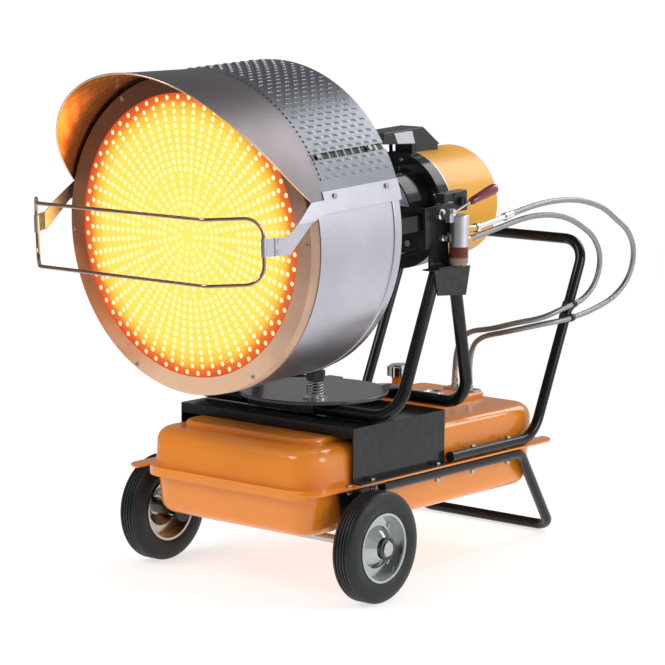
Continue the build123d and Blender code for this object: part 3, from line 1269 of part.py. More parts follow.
def control_box():
    s0, s1 = PANEL_S
    h0, h1 = PANEL_H
    box = block(PANEL_IN, PANEL_X, s0, s1, h0, h1)
    box = fillet(box.edges().group_by(Axis.X)[-1], 2)
    box -= block(PANEL_IN + 2, PANEL_X - 2, s0 + 2, s1 - 2, h0 + 2, h1 - 2)
    box -= along_x(Pos(*SWITCH_AT) * Rectangle(19, 2 * SWITCH_R + 0.6), PANEL_X - 5, PANEL_X + 5)
    box -= along_x(Pos(*KNOB_AT) * Circle(3 + FIT), PANEL_X - 5, PANEL_X + 5)
    box -= along_x(Pos(*LAMP_AT) * Circle(LAMP_R + FIT), PANEL_X - 5, PANEL_X + 5)
    box -= along_y(Pos(GLAND_X, GLAND_H) * Circle(GLAND_R + FIT), s1 - 5, s1 + 5)
    at_s, at_h = SWITCH_AT
    ear = at_s - SWITCH_HALF - 0.5
    box += block(PANEL_X - 6, PANEL_X - 1, ear - 1.5, ear, at_h - 9, at_h + 9)
    rocker = along_y(Pos(PANEL_X - 4, at_h) * Circle(SWITCH_R), at_s - SWITCH_HALF, at_s + SWITCH_HALF)
    tilted = Pos(PANEL_X + 1, at_h + 6) * Rot(0, 0, 40) * Rectangle(4, 12)
    rocker -= along_y(tilted, at_s - SWITCH_HALF - 1, at_s + SWITCH_HALF + 1)
    save("power_switch", HEAD * rocker)
    knob = along_x(Pos(*KNOB_AT) * Circle(DIAL_R), PANEL_X + RUN, PANEL_X + 13)
    knob = fillet(knob.edges().group_by(Axis.X)[-1], 2)
    knob += along_x(Pos(*KNOB_AT) * Rectangle(3, 18), PANEL_X + 12, PANEL_X + 15)
    knob += along_x(Pos(*KNOB_AT) * Circle(3), PANEL_X - 6, PANEL_X + 1)
    save("thermostat_knob", HEAD * knob)
    lamp = along_x(Pos(*LAMP_AT) * Circle(LAMP_R), PANEL_X - 6, PANEL_X + 2)
    lamp += along_x(Pos(*LAMP_AT) * Circle(LAMP_R + 1.5), PANEL_X + SEAT, PANEL_X + 2)
    hole = Pos(GLAND_X, GLAND_H)
    gland = along_y(hole * annulus(GLAND_R, GLAND_BORE), s1 - 4, s1 + 2)
    gland += along_y(hole * (hexagon(GLAND_R + 4) - Circle(GLAND_BORE)), s1 + SEAT, s1 + 8)
    gland += along_y(hole * annulus(GLAND_R + 1.5, GLAND_BORE), s1 + 7, s1 + 16)
    save("control_box", *[HEAD * piece for piece in (box, lamp, gland)])


# ---------------------------------------------------------------- build and write
def build():
    wheels()
    axle()
    axle_brackets()
    tank()
    filler()
    filler_cap()
    gauge()
    float_arm()
    pickups()
    saddle_bridge()
    turntable_base()
    turntable_disc()
    handle_tube()
    leg_tube()
    tube_end_caps()
    clamp_bolts()
    stand_frames()
    uprights()
    pivot_bolts()
    brake()
    filter_unit()
    valve_lever()
    hoses()
    hose_clips()
    drum()
    rear_cover()
    top_cover()
    visor_band()
    side_strips()
    guard()
    guard_clips()
    neck()
    pivot_plates()
    housing()
    motor_group()
    burner_cover()
    ignition_box()
    control_box()
    save("head_screws", *head_screws)


def write():
    """Centre the rigid pieces over the origin and write one file per node."""
    rigid = Compound([solid for solids, cord in nodes.values() for solid in solids if not cord])
    limits = rigid.bounding_box()
    middle = (limits.min.Y + limits.max.Y) / 2
    print("centre shift", round(middle, 4), "x", round(limits.min.X, 3), round(limits.max.X, 3),
          "z", round(limits.min.Z, 3), round(limits.max.Z, 3))
    os.makedirs("parts", exist_ok=True)
    for name, (solids, cord) in nodes.items():
        export_step(Pos(0, -middle, 0) * Compound(solids), "parts/" + name + ".step")


build()
write()
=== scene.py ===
import json
import math

import bpy
import numpy as np
from mathutils import Matrix, Vector


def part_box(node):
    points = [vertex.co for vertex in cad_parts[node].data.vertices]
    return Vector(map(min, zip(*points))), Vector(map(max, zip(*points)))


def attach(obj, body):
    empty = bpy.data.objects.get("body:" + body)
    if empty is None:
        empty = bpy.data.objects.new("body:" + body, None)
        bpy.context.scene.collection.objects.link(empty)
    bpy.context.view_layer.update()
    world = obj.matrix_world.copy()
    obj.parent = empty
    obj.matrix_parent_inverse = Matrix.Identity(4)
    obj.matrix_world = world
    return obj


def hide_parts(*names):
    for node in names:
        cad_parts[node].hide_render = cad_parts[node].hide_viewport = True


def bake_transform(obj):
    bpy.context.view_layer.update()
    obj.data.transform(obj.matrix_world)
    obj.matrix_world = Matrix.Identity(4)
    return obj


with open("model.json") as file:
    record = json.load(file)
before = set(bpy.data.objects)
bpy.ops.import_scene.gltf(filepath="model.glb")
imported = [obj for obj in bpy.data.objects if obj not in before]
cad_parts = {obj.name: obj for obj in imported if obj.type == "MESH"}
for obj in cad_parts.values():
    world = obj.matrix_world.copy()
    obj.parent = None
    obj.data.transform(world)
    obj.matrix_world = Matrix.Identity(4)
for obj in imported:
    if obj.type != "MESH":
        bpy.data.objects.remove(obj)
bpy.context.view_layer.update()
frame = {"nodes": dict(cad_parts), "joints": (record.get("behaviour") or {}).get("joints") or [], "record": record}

bl_info = {
    "name": "Radiant Heater",
    "version": (1, 0, 0),
    "blender": (4, 5, 0),
    "location": "View3D > Sidebar > Heater",
    "description": "Surfaces and finishes of an oil-fired radiant heater on a two-wheel cart",
    "category": "Object",
}

# ---------------------------------------------------------------- the frame
# All lengths are in metres. X runs across, Y back to the push handle, Z up.
JOINTS = {joint["name"]: joint for joint in frame["joints"]}
WHEEL_Y = JOINTS["wheel_left_spin"]["pos_m"][1]
SHIFT = WHEEL_Y + 0.193             # from the drawing's Y to this frame's Y
RIGHT = np.array((1.0, 0.0, 0.0))
BACK = np.array(JOINTS["fan_spin"]["axis"], float)      # the head's own axis, front to back
RISE = np.cross(RIGHT, BACK)
BURNER_DROP = 0.036                 # the burner's axis under the drum's
FAN_AT = 0.700
HEAD = np.array(JOINTS["fan_spin"]["pos_m"], float) - FAN_AT * BACK + BURNER_DROP * RISE

DRUM_LENGTH = 0.304
COVER_R = 0.358
COVER_SHEET = 0.0015
COVER_FRONT = 0.050
COVER_BACK = DRUM_LENGTH + 0.001
HOOD_RIM_R = 0.368
HOOD_EDGE = ((0.0103, 0.097), (-0.1039, 0.2325), (-0.1734, 0.368))     # its rim: back, up
HOOD_TUCK_R = 0.3548                # inside of the hood's sheet at HOOD_TUCK_AT
HOOD_TUCK_AT = 0.0417
EMITTER_R = 0.346
EMITTER_AT = 0.0021
HOSE_R = 0.0065


def head_point(x, back, up):
    """Points given across, back along and above the drum's axis, in the frame."""
    x, back, up = np.broadcast_arrays(x, back, up)
    return HEAD + x[..., None] * RIGHT + back[..., None] * BACK + up[..., None] * RISE


def drawing(points):
    """Points of the drawing, in millimetres, in the frame's metres."""
    return np.array(points, float) / 1000 + np.array((0.0, SHIFT, 0.0))


# ---------------------------------------------------------------- settings
class HeaterSizes(bpy.types.PropertyGroup):
    """Sizes a user may change without touching the construction."""

    hole_pitch: bpy.props.FloatProperty(
        name="Hole pitch", description="Distance between two rings of emitter holes",
        default=0.0155, unit="LENGTH")
    hole_radius: bpy.props.FloatProperty(
        name="Hole radius", description="Radius of one emitter hole", default=0.0055, unit="LENGTH")
    slot_length: bpy.props.FloatProperty(
        name="Slot length", description="Length of one slot of the top cover", default=0.017, unit="LENGTH")
    slot_width: bpy.props.FloatProperty(
        name="Slot width", description="Width of one slot of the top cover", default=0.0056, unit="LENGTH")
    braid_pitch: bpy.props.FloatProperty(
        name="Braid pitch", description="Length of one diamond of the hose braid",
        default=0.006, unit="LENGTH")


class HeaterColours(bpy.types.PropertyGroup):
    """Colours of the painted and glowing pieces."""

    tank_paint: bpy.props.FloatVectorProperty(
        name="Tank paint", description="Gloss orange of the fuel tank", subtype="COLOR",
        default=(0.88, 0.270, 0.020), min=0, max=1)
    cover_paint: bpy.props.FloatVectorProperty(
        name="Burner cover paint", description="Yellow-orange of the burner cover", subtype="COLOR",
        default=(0.93, 0.44, 0.030), min=0, max=1)
    frame_paint: bpy.props.FloatVectorProperty(
        name="Frame paint", description="Gloss black of tubes and plates", subtype="COLOR",
        default=(0.006, 0.007, 0.008), min=0, max=1)
    glow: bpy.props.FloatVectorProperty(
        name="Glow", description="Colour of the hot plate", subtype="COLOR",
        default=(0.96, 0.76, 0.11), min=0, max=1)


def sizes():
    return bpy.context.scene.heater_sizes


def colours():
    return bpy.context.scene.heater_colours


# ---------------------------------------------------------------- meshes
def link_object(name, data):
    """A new object with the given data, linked into the scene."""
    made = bpy.data.objects.new(name, data)
    bpy.context.scene.collection.objects.link(made)
    return made


def make_piece(name, points, faces, body, slot, finish=None, uv=None, replaced=(), smooth=True):
    """A mesh from points and a list of face arrays, riding on a body.

    It wears the finish of its slot unless another is named.
    """
    mesh = bpy.data.meshes.new(name)
    mesh.from_pydata(points.reshape(-1, 3).tolist(), [], [face for block in faces for face in block.tolist()])
    if uv is not None:
        layer = mesh.uv_layers.new(name="UVMap")
        corner = np.zeros(len(mesh.loops), np.int32)
        mesh.loops.foreach_get("vertex_index", corner)
        layer.data.foreach_set("uv", uv.reshape(-1, 2)[corner].astype(np.float32).ravel())
    mesh.polygons.foreach_set("use_smooth", np.full(len(mesh.polygons), smooth))
    mesh.materials.append(finish_for(finish or slot))
    mesh.update()
    piece = link_object(name, mesh)
    if replaced:
        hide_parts(*replaced)
    if body:
        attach(piece, body)
    return piece


def grid_faces(rows, columns, close_columns=False):
    """Quads of a grid of points, wrapping round where its rows close on themselves."""
    across = np.arange(columns if close_columns else columns - 1)
    along = np.arange(rows - 1)[:, None]
    nxt, down = (across + 1) % columns, along + 1
    quads = (along * columns + across, along * columns + nxt, down * columns + nxt, down * columns + across)
    return np.stack(np.broadcast_arrays(*quads), -1).reshape(-1, 4)


def sharpen(piece, degrees=30):
    """Edges sharper than the given angle stay crisp under smooth shading."""
    piece.data.set_sharp_from_angle(angle=math.radians(degrees))


def tube_points(path, radius, sides):
    """Circles of the given radius, square to the path at each of its points."""
    ahead = np.gradient(path, axis=0)
    ahead /= np.linalg.norm(ahead, axis=1)[:, None]
    side = np.zeros_like(path)
    held = np.cross(ahead[0], (0.0, 0.0, 1.0) if abs(ahead[0][2]) < 0.9 else (1.0, 0.0, 0.0))
    for station, direction in enumerate(ahead):
        held = held - direction * held.dot(direction)
        held /= np.linalg.norm(held)
        side[station] = held
    up = np.cross(ahead, side)
    turn = np.linspace(0, 2 * math.pi, sides, endpoint=False)[None, :, None]
    return path[:, None] + radius * (np.cos(turn) * side[:, None] + np.sin(turn) * up[:, None])


# ---------------------------------------------------------------- shader groups
def new_group(name, inputs, outputs):
    """An empty shader group with its sockets; returns it with its input and output nodes."""
    group = bpy.data.node_groups.new(name, "ShaderNodeTree")
    for label, kind, default in inputs:
        socket = group.interface.new_socket(label, in_out="INPUT", socket_type=kind)
        if default is not None:
            socket.default_value = default
    for label, kind in outputs:
        group.interface.new_socket(label, in_out="OUTPUT", socket_type=kind)
    return group, group.nodes.new("NodeGroupInput"), group.nodes.new("NodeGroupOutput")


def node(tree, kind, **values):
    """A node with its plain settings; a key that starts with an underscore sets an input."""
    made = tree.nodes.new(kind)
    for key, value in values.items():
        if key.startswith("_"):
            made.inputs[key[1:].replace("_", " ")].default_value = value
        else:
            setattr(made, key, value)
    return made


def maths(tree, operation, *values):
    """A Math node fed by sockets or plain numbers."""
    made = node(tree, "ShaderNodeMath", operation=operation)
    for place, value in enumerate(values):
        if isinstance(value, (int, float)):
            made.inputs[place].default_value = value
        else:
            tree.links.new(value, made.inputs[place])
    return made.outputs[0]


def object_place(tree):
    """The socket of Object coordinates."""
    return node(tree, "ShaderNodeTexCoord").outputs["Object"]


def noise(tree, **values):
    """A noise texture read on Object coordinates."""
    made = node(tree, "ShaderNodeTexNoise", **values)
    tree.links.new(object_place(tree), made.inputs["Vector"])
    return made


def split_axes(tree, socket):
    """The X, Y and Z of a vector socket."""
    split = node(tree, "ShaderNodeSeparateXYZ")
    tree.links.new(socket, split.inputs[0])
    return split.outputs


def carried(tree, value, source=(0.0, 1.0), target=(0.0, 1.0), kind="LINEAR"):
    """A value carried from one range to another."""
    made = node(tree, "ShaderNodeMapRange", interpolation_type=kind, _From_Min=source[0],
                _From_Max=source[1], _To_Min=target[0], _To_Max=target[1])
    tree.links.new(value, made.inputs["Value"])
    return made.outputs[0]


def mixed(tree, share, first, second):
    """Two colours mixed by a share; each is a socket or a plain colour."""
    mix = node(tree, "ShaderNodeMix", data_type="RGBA")
    tree.links.new(share, mix.inputs[0])
    for place, colour in ((6, first), (7, second)):
        if isinstance(colour, tuple):
            mix.inputs[place].default_value = (*colour, 1)
        else:
            tree.links.new(colour, mix.inputs[place])
    return mix.outputs[2]


def grain_group():
    """Fine streaks: noise read on coordinates that are drawn out along one axis."""
    tree, start, end = new_group(
        "Grain", [("Stretch", "NodeSocketVector", (1, 1, 1)), ("Scale", "NodeSocketFloat", 200.0)],
        [("Height", "NodeSocketFloat"), ("Mask", "NodeSocketFloat")])
    drawn = node(tree, "ShaderNodeVectorMath", operation="MULTIPLY")
    tree.links.new(object_place(tree), drawn.inputs[0])
    tree.links.new(start.outputs["Stretch"], drawn.inputs[1])
    fine = node(tree, "ShaderNodeTexNoise", _Detail=3.0, _Roughness=0.6)
    tree.links.new(drawn.outputs[0], fine.inputs["Vector"])
    tree.links.new(start.outputs["Scale"], fine.inputs["Scale"])
    tree.links.new(fine.outputs["Fac"], end.inputs["Height"])
    tree.links.new(carried(tree, fine.outputs["Fac"], (0.3, 0.7)), end.inputs["Mask"])
    return tree


def mottle_group():
    """Two tones of one colour, mixed by soft noise."""
    tree, start, end = new_group(
        "Mottle", [("First", "NodeSocketColor", (1, 1, 1, 1)), ("Second", "NodeSocketColor", (0, 0, 0, 1)),
                   ("Scale", "NodeSocketFloat", 12.0), ("Amount", "NodeSocketFloat", 0.5)],
        [("Color", "NodeSocketColor"), ("Mask", "NodeSocketFloat")])
    soft = noise(tree, _Detail=4.0, _Roughness=0.55)
    tree.links.new(start.outputs["Scale"], soft.inputs["Scale"])
    spread = carried(tree, soft.outputs["Fac"], (0.35, 0.7))
    share = maths(tree, "MULTIPLY", spread, start.outputs["Amount"])
    colour = mixed(tree, share, start.outputs["First"], start.outputs["Second"])
    tree.links.new(colour, end.inputs["Color"])
    tree.links.new(share, end.inputs["Mask"])
    return tree


def wear_group():
    """A mask along convex edges, broken up by noise."""
    tree, start, end = new_group(
        "Edge wear", [("Amount", "NodeSocketFloat", 0.5)], [("Mask", "NodeSocketFloat")])
    shape = node(tree, "ShaderNodeNewGeometry")
    edge = carried(tree, shape.outputs["Pointiness"], (0.53, 0.62))
    chips = noise(tree, _Scale=60.0, _Detail=4.0)
    broken = maths(tree, "MULTIPLY", edge, chips.outputs["Fac"])
    tree.links.new(maths(tree, "MULTIPLY", broken, start.outputs["Amount"]), end.inputs["Mask"])
    return tree


def group_node(tree, name, **values):
    """A shader group placed in a material with its own values; it is built on first use."""
    makers = {"Grain": grain_group, "Mottle": mottle_group, "Edge wear": wear_group}
    group = bpy.data.node_groups.get(name) or makers[name]()
    made = node(tree, "ShaderNodeGroup", node_tree=group)
    for key, value in values.items():
        made.inputs[key.replace("_", " ")].default_value = value
    return made


# ---------------------------------------------------------------- materials
WORN_STEEL = (0.35, 0.34, 0.33)
PALE_PLATE = (0.74, 0.72, 0.80)
PLATE_FACE_X = 0.03503              # the ignition box's label plate starts here
WIRES_ROUND = 8                     # diamonds of braid round a hose
GLOW_ON_OTHERS = 2.6                # how much stronger the fire lights other pieces than it looks


def start_material(name, **sockets):
    """A material with a Principled shader and its constant values set on its sockets."""
    paint = bpy.data.materials.new(name)
    paint.use_nodes = True
    shader = paint.node_tree.nodes["Principled BSDF"]
    for key, value in sockets.items():
        shader.inputs[key.replace("_", " ")].default_value = value
    return paint, paint.node_tree, shader


def rough_between(tree, shader, mask, low, high):
    """Roughness runs from low to high as a mask runs from 0 to 1."""
    tree.links.new(carried(tree, mask, target=(low, high)), shader.inputs["Roughness"])


def bump(tree, shader, height, strength, distance):
    """A bump from a height socket, into the shader's normal."""
    raised = node(tree, "ShaderNodeBump", _Strength=strength, _Distance=distance)
    tree.links.new(height, raised.inputs["Height"])
    tree.links.new(raised.outputs[0], shader.inputs["Normal"])


def grained(tree, shader, rough, depth, distance, scale, stretch=(1, 1, 1)):
    """Grain in the shader's roughness and in its bump."""
    grain = group_node(tree, "Grain", Stretch=stretch, Scale=scale)
    rough_between(tree, shader, grain.outputs["Mask"], *rough)
    bump(tree, shader, grain.outputs["Height"], depth, distance)


def two_tone(tree, first, second, scale, amount):
    """The colour of two mottled tones."""
    tone = group_node(tree, "Mottle", First=(*first, 1), Second=(*second, 1), Scale=scale, Amount=amount)
    return tone.outputs["Color"]


def metal(name, first, second, rough, stretch, scale, mottle, depth):
    """Bare metal: two tones of mottle, brushed streaks in roughness and bump."""
    paint, tree, shader = start_material(name, Metallic=1.0)
    tree.links.new(two_tone(tree, first, second, mottle, 0.6), shader.inputs["Base Color"])
    grained(tree, shader, rough, depth, 0.0003, scale, stretch)
    return paint


def gloss_paint(name, colour, rough, darker=0.85, wear=0.0, peel=0.05, **sockets):
    """Stoved paint: a slight change of tone, orange peel in the gloss, wear on edges."""
    sockets = {"Coat_Weight": 0.3, "Coat_Roughness": 0.06, **sockets}
    paint, tree, shader = start_material(name, **sockets)
    final = two_tone(tree, colour, [part * darker for part in colour], 5.0, 0.7)
    if wear:
        edge = group_node(tree, "Edge wear", Amount=wear)
        final = mixed(tree, edge.outputs["Mask"], final, WORN_STEEL)
    tree.links.new(final, shader.inputs["Base Color"])
    grained(tree, shader, rough, peel, 0.001, 90.0)
    return paint


def plain_plastic(name, colour, rough, scale=700.0, depth=0.2, **sockets):
    """Moulded plastic or rubber: fine grain, faint change of tone."""
    paint, tree, shader = start_material(name, **sockets)
    paler = [part * 1.6 + 0.004 for part in colour]
    tree.links.new(two_tone(tree, colour, paler, 25.0, 0.6), shader.inputs["Base Color"])
    grained(tree, shader, rough, depth, 0.0005, scale)
    return paint


def drum_place(tree):
    """Sockets with the distance from the drum's axis and the turn round it."""
    turn = -math.atan2(BACK[2], BACK[1])
    turned = Matrix.Rotation(turn, 3, "X") @ Vector(HEAD)
    centred = node(tree, "ShaderNodeMapping", _Rotation=(turn, 0, 0), _Location=-turned)
    tree.links.new(object_place(tree), centred.inputs["Vector"])
    split = split_axes(tree, centred.outputs[0])
    squares = [maths(tree, "POWER", maths(tree, "ABSOLUTE", split[axis]), 2.0) for axis in "XZ"]
    reach = maths(tree, "SQRT", maths(tree, "ADD", *squares))
    return reach, maths(tree, "ARCTAN2", split["Z"], split["X"])


def wandering(tree, value, amount, **values):
    """A value shifted to and fro by noise."""
    soft = maths(tree, "SUBTRACT", noise(tree, **values).outputs["Fac"], 0.5)
    return maths(tree, "ADD", value, maths(tree, "MULTIPLY", soft, amount))


def ramp(tree, factor, stops):
    """A colour ramp from a socket; stops are (place, colour)."""
    made = node(tree, "ShaderNodeValToRGB")
    band = made.color_ramp
    while len(band.elements) < len(stops):
        band.elements.new(0.5)
    for element, (place, colour) in zip(band.elements, stops):
        element.position = place
        element.color = (*colour, 1)
    tree.links.new(factor, made.inputs[0])
    return made.outputs[0]


def glow_material(name, stops, strength=1.0):
    """Hot metal that shines by itself, its colour a function of the drum's radius."""
    paint, tree, shader = start_material(name, Roughness=0.7, Specular_IOR_Level=0.1)
    shader.inputs["Base Color"].default_value = (0.05, 0.03, 0.01, 1)
    reach = maths(tree, "DIVIDE", drum_place(tree)[0], EMITTER_R)
    share = wandering(tree, reach, 0.08, _Scale=9.0, _Detail=2.0)
    tree.links.new(ramp(tree, share, stops), shader.inputs["Emission Color"])
    seen = node(tree, "ShaderNodeLightPath").outputs["Is Camera Ray"]
    power = carried(tree, seen, target=(GLOW_ON_OTHERS * strength, strength))
    tree.links.new(power, shader.inputs["Emission Strength"])
    return paint


def ring_with_painted_light(name):
    """Heat-tinted steel whose colour runs with the angle round the drum, broken by noise: painted light makes it
    pale peach below, painted shade makes it dark above, under the hood.
    """
    paint, tree, shader = start_material(name, Metallic=0.25)
    angle = drum_place(tree)[1]
    turned = maths(tree, "ADD", maths(tree, "MULTIPLY", angle, 0.5 / math.pi), 0.5)
    share = wandering(tree, turned, 0.12, _Scale=14.0, _Detail=3.0)
    # the ramp by angle paints light below and shade above over the heat tint
    tree.links.new(ramp(tree, share, RING_TINT_LIGHT_SHADE_STOPS), shader.inputs["Base Color"])
    grained(tree, shader, (0.34, 0.5), 0.1, 0.0004, 120.0)
    return paint


def labelled_plastic(name):
    """Black moulded box with a bare pale plate on its right side."""
    paint = plain_plastic(name, (0.012, 0.011, 0.011), (0.25, 0.4))
    tree = paint.node_tree
    base = tree.nodes["Principled BSDF"].inputs["Base Color"]
    plate = maths(tree, "GREATER_THAN", split_axes(tree, object_place(tree))["X"], PLATE_FACE_X)
    tree.links.new(mixed(tree, plate, base.links[0].from_socket, PALE_PLATE), base)
    return paint


def braid_material(name):
    """Steel wire braid: two families of crossing waves on the tube's own UV. Its colour is dark in the gaps, where
    the hose shows, with painted shade on the wires' flanks and a painted highlight on their crests.
    """
    paint, tree, shader = start_material(name, Metallic=0.9, Specular_IOR_Level=0.5)
    place = split_axes(tree, node(tree, "ShaderNodeUVMap", uv_map="UVMap").outputs[0])
    around = maths(tree, "MULTIPLY", place["X"], 2 * math.pi * WIRES_ROUND)
    along = maths(tree, "MULTIPLY", place["Y"], 2 * math.pi / sizes().braid_pitch)
    one = maths(tree, "SINE", maths(tree, "ADD", around, along))
    two = maths(tree, "SINE", maths(tree, "SUBTRACT", around, along))
    over = maths(tree, "MAXIMUM", one, two)
    # colour of the waves: painted shade on the flanks, painted highlight on the crests
    tree.links.new(ramp(tree, over, BRAID_GAP_AND_SHEEN_STOPS), shader.inputs["Base Color"])
    rough_between(tree, shader, over, 0.55, 0.32)
    bump(tree, shader, over, 0.5, 0.0006)
    return paint


def bowl_material(name):
    """Clear filter bowl with red fuel standing in it."""
    paint, tree, shader = start_material(name, Roughness=0.08, Transmission_Weight=0.55, IOR=1.45)
    low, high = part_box("filter_bowl")
    above = maths(tree, "SUBTRACT", split_axes(tree, object_place(tree))["Z"], low.z)
    level = maths(tree, "DIVIDE", above, high.z - low.z)
    tree.links.new(ramp(tree, level, BOWL_STOPS), shader.inputs["Base Color"])
    return paint


GLOW_STOPS = [(0.0, (0.98, 0.86, 0.17)), (0.72, (0.97, 0.80, 0.13)), (0.80, (0.98, 0.56, 0.05)),
              (0.85, (0.84, 0.16, 0.022)), (0.90, (0.70, 0.065, 0.02)), (1.0, (0.30, 0.03, 0.01))]
HOLE_STOPS = [(0.0, (1.0, 0.95, 0.33)), (0.45, (1.0, 0.98, 0.44)), (0.80, (1.0, 1.0, 0.58)),
              (0.90, (1.0, 0.85, 0.45)), (1.0, (0.9, 0.4, 0.12))]
# heat tint with painted light, pale peach below, and painted shade, dark above under the hood
RING_TINT_LIGHT_SHADE_STOPS = [(0.0, (0.34, 0.10, 0.035)), (0.12, (0.72, 0.26, 0.09)), (0.21, (0.96, 0.62, 0.40)),
              (0.34, (0.90, 0.58, 0.38)), (0.43, (0.60, 0.38, 0.26)), (0.52, (0.42, 0.26, 0.18)),
              (0.60, (0.16, 0.08, 0.06)), (0.80, (0.12, 0.06, 0.045)), (1.0, (0.30, 0.11, 0.05))]
# dark in the gaps and flanks, pale on the crests: painted shade and a painted highlight on the wires
BRAID_GAP_AND_SHEEN_STOPS = [(0.0, (0.05, 0.05, 0.055)), (0.55, (0.28, 0.29, 0.30)), (1.0, (0.62, 0.63, 0.65))]
BOWL_STOPS = [(0.0, (0.55, 0.42, 0.36)), (0.35, (0.60, 0.45, 0.40)),
              (0.45, (0.33, 0.06, 0.04)), (1.0, (0.30, 0.05, 0.035))]

# name, two tones, roughness, stretch of the grain, its scale, scale of the mottle, bump
EVEN = (1, 1, 1)
METALS = {
    "zinc": ("Bright zinc", (0.50, 0.53, 0.52), (0.30, 0.33, 0.31), (0.13, 0.24), EVEN, 140.0, 14.0, 0.06),
    "axle_steel": ("Ground steel", (0.55, 0.56, 0.57), (0.4, 0.4, 0.4), (0.2, 0.35), (8, 1, 1),
                   300.0, 8.0, 0.15),
    "chrome": ("Chrome", (0.86, 0.87, 0.88), (0.75, 0.76, 0.78), (0.05, 0.12), EVEN, 60.0, 8.0, 0.02),
    "brass": ("Brass", (0.72, 0.50, 0.22), (0.50, 0.34, 0.14), (0.22, 0.36), EVEN, 120.0, 20.0, 0.15),
    "stainless": ("Satin stainless", (0.55, 0.55, 0.61), (0.42, 0.42, 0.48), (0.26, 0.42), (14, 1, 1),
                  260.0, 6.0, 0.15),
    "aluminium": ("Cast aluminium", (0.62, 0.63, 0.65), (0.45, 0.46, 0.48), (0.30, 0.48), EVEN,
                  180.0, 30.0, 0.3),
    # hood lining: its orange tones are a painted reflection of the glow
    "hood_lining_painted_glow": ("Hood lining with painted glow reflection", (0.92, 0.50, 0.20), (0.62, 0.22, 0.07), (0.14, 0.30), (1, 16, 1),
                    26.0, 8.0, 0.5),
    # hood rim: its pale peach tones are painted glow light
    "hood_rim_painted_glow": ("Hood rim with painted glow light", (0.90, 0.66, 0.52), (0.70, 0.42, 0.28), (0.25, 0.35), EVEN, 60.0, 10.0, 0.05),
    "hub_ring": ("Dark hub", (0.10, 0.10, 0.11), (0.05, 0.05, 0.055), (0.25, 0.4), EVEN, 90.0, 8.0, 0.15),
    "visor_band": ("Hood steel", (0.27, 0.245, 0.26), (0.19, 0.16, 0.165), (0.40, 0.50), (1, 10, 1),
                   120.0, 5.0, 0.15),
    "top_cover": ("Cover steel", (0.26, 0.27, 0.30), (0.19, 0.20, 0.225), (0.34, 0.44), (1, 10, 1),
                  160.0, 5.0, 0.15),
    "guard_loop": ("Guard wire", (0.50, 0.33, 0.28), (0.30, 0.17, 0.13), (0.10, 0.2), EVEN, 60.0, 9.0, 0.02),
}
MAKERS = {
    "tyre": lambda: plain_plastic("Tyre rubber", (0.011, 0.0125, 0.013), (0.40, 0.55),
                                  Specular_IOR_Level=0.35),
    "black_paint": lambda: gloss_paint("Gloss black", tuple(colours().frame_paint), (0.12, 0.18), wear=0.12,
                                       peel=0.015, Coat_Weight=0.1, Specular_IOR_Level=0.24),
    "orange_paint": lambda: gloss_paint("Tank orange", tuple(colours().tank_paint), (0.16, 0.24), 0.9),
    "cover_orange": lambda: gloss_paint("Cover orange", tuple(colours().cover_paint), (0.34, 0.44), 0.93,
                                        Coat_Weight=0.08),
    "turntable_disc": lambda: gloss_paint("Disc paint", (0.060, 0.054, 0.060), (0.22, 0.30), peel=0.01,
                                          Coat_Weight=0.5),
    "glass": lambda: start_material("Gauge glass", Roughness=0.03, Transmission_Weight=1.0, IOR=1.45)[0],
    "plastic_black": lambda: plain_plastic("Black plastic", (0.012, 0.012, 0.013), (0.30, 0.45)),
    "grip_red": lambda: plain_plastic("Red grip", (0.16, 0.008, 0.012), (0.22, 0.35), 300.0, 0.08,
                                      Coat_Weight=0.5),
    "float": lambda: plain_plastic("Float foam", (0.60, 0.55, 0.40), (0.5, 0.6)),
    "pointer": lambda: plain_plastic("Pointer red", (0.50, 0.02, 0.015), (0.4, 0.5)),
    "bowl": lambda: bowl_material("Filter bowl"),
    "braid": lambda: braid_material("Wire braid with painted sheen"),
    "emitter": lambda: glow_material("Glowing plate", GLOW_STOPS),
    "fire": lambda: glow_material("Fire behind the plate", HOLE_STOPS, 1.1),
    "front_ring": lambda: ring_with_painted_light("Ring tint with painted light and shade"),
    "ignition_box": lambda: labelled_plastic("Ignition box"),
}
# CAD nodes that don't wear the finish of their slot
OWN_FINISH = ("front_ring", "ignition_box", "turntable_disc", "visor_band", "top_cover", "guard_loop")
FINISHES = {}


def finish_for(name):
    """The material of a slot, or of a piece with its own finish, made on first use."""
    if name not in FINISHES:
        FINISHES[name] = metal(*METALS[name]) if name in METALS else MAKERS[name]()
    return FINISHES[name]


def paint_nodes():
    """Gives every CAD node its own finish or the finish of its slot."""
    for row in frame["record"]["subparts"]:
        piece = frame["nodes"][row["node"]]
        piece.data.materials.clear()
        wears = row["node"] if row["node"] in OWN_FINISH else row["material_slot"]
        piece.data.materials.append(finish_for(wears))


# ---------------------------------------------------------------- perforated sheets
def cell_ring(across, along):
    """The outline of one cell of a perforated sheet, and the angle of each of its points.

    The outline is a square from -0.5 to 0.5 walked once round, with `across` steps on the
    sides that run in u and `along` steps on the others.
    """
    u = np.linspace(-0.5, 0.5, across + 1)[:-1]
    v = np.linspace(-0.5, 0.5, along + 1)[:-1]
    sides = [(u, np.full(across, -0.5)), (np.full(along, 0.5), v),
             (-u, np.full(across, 0.5)), (np.full(along, -0.5), -v)]
    outline = np.concatenate([np.stack(side, -1) for side in sides])
    return outline, np.arctan2(outline[:, 1], outline[:, 0])


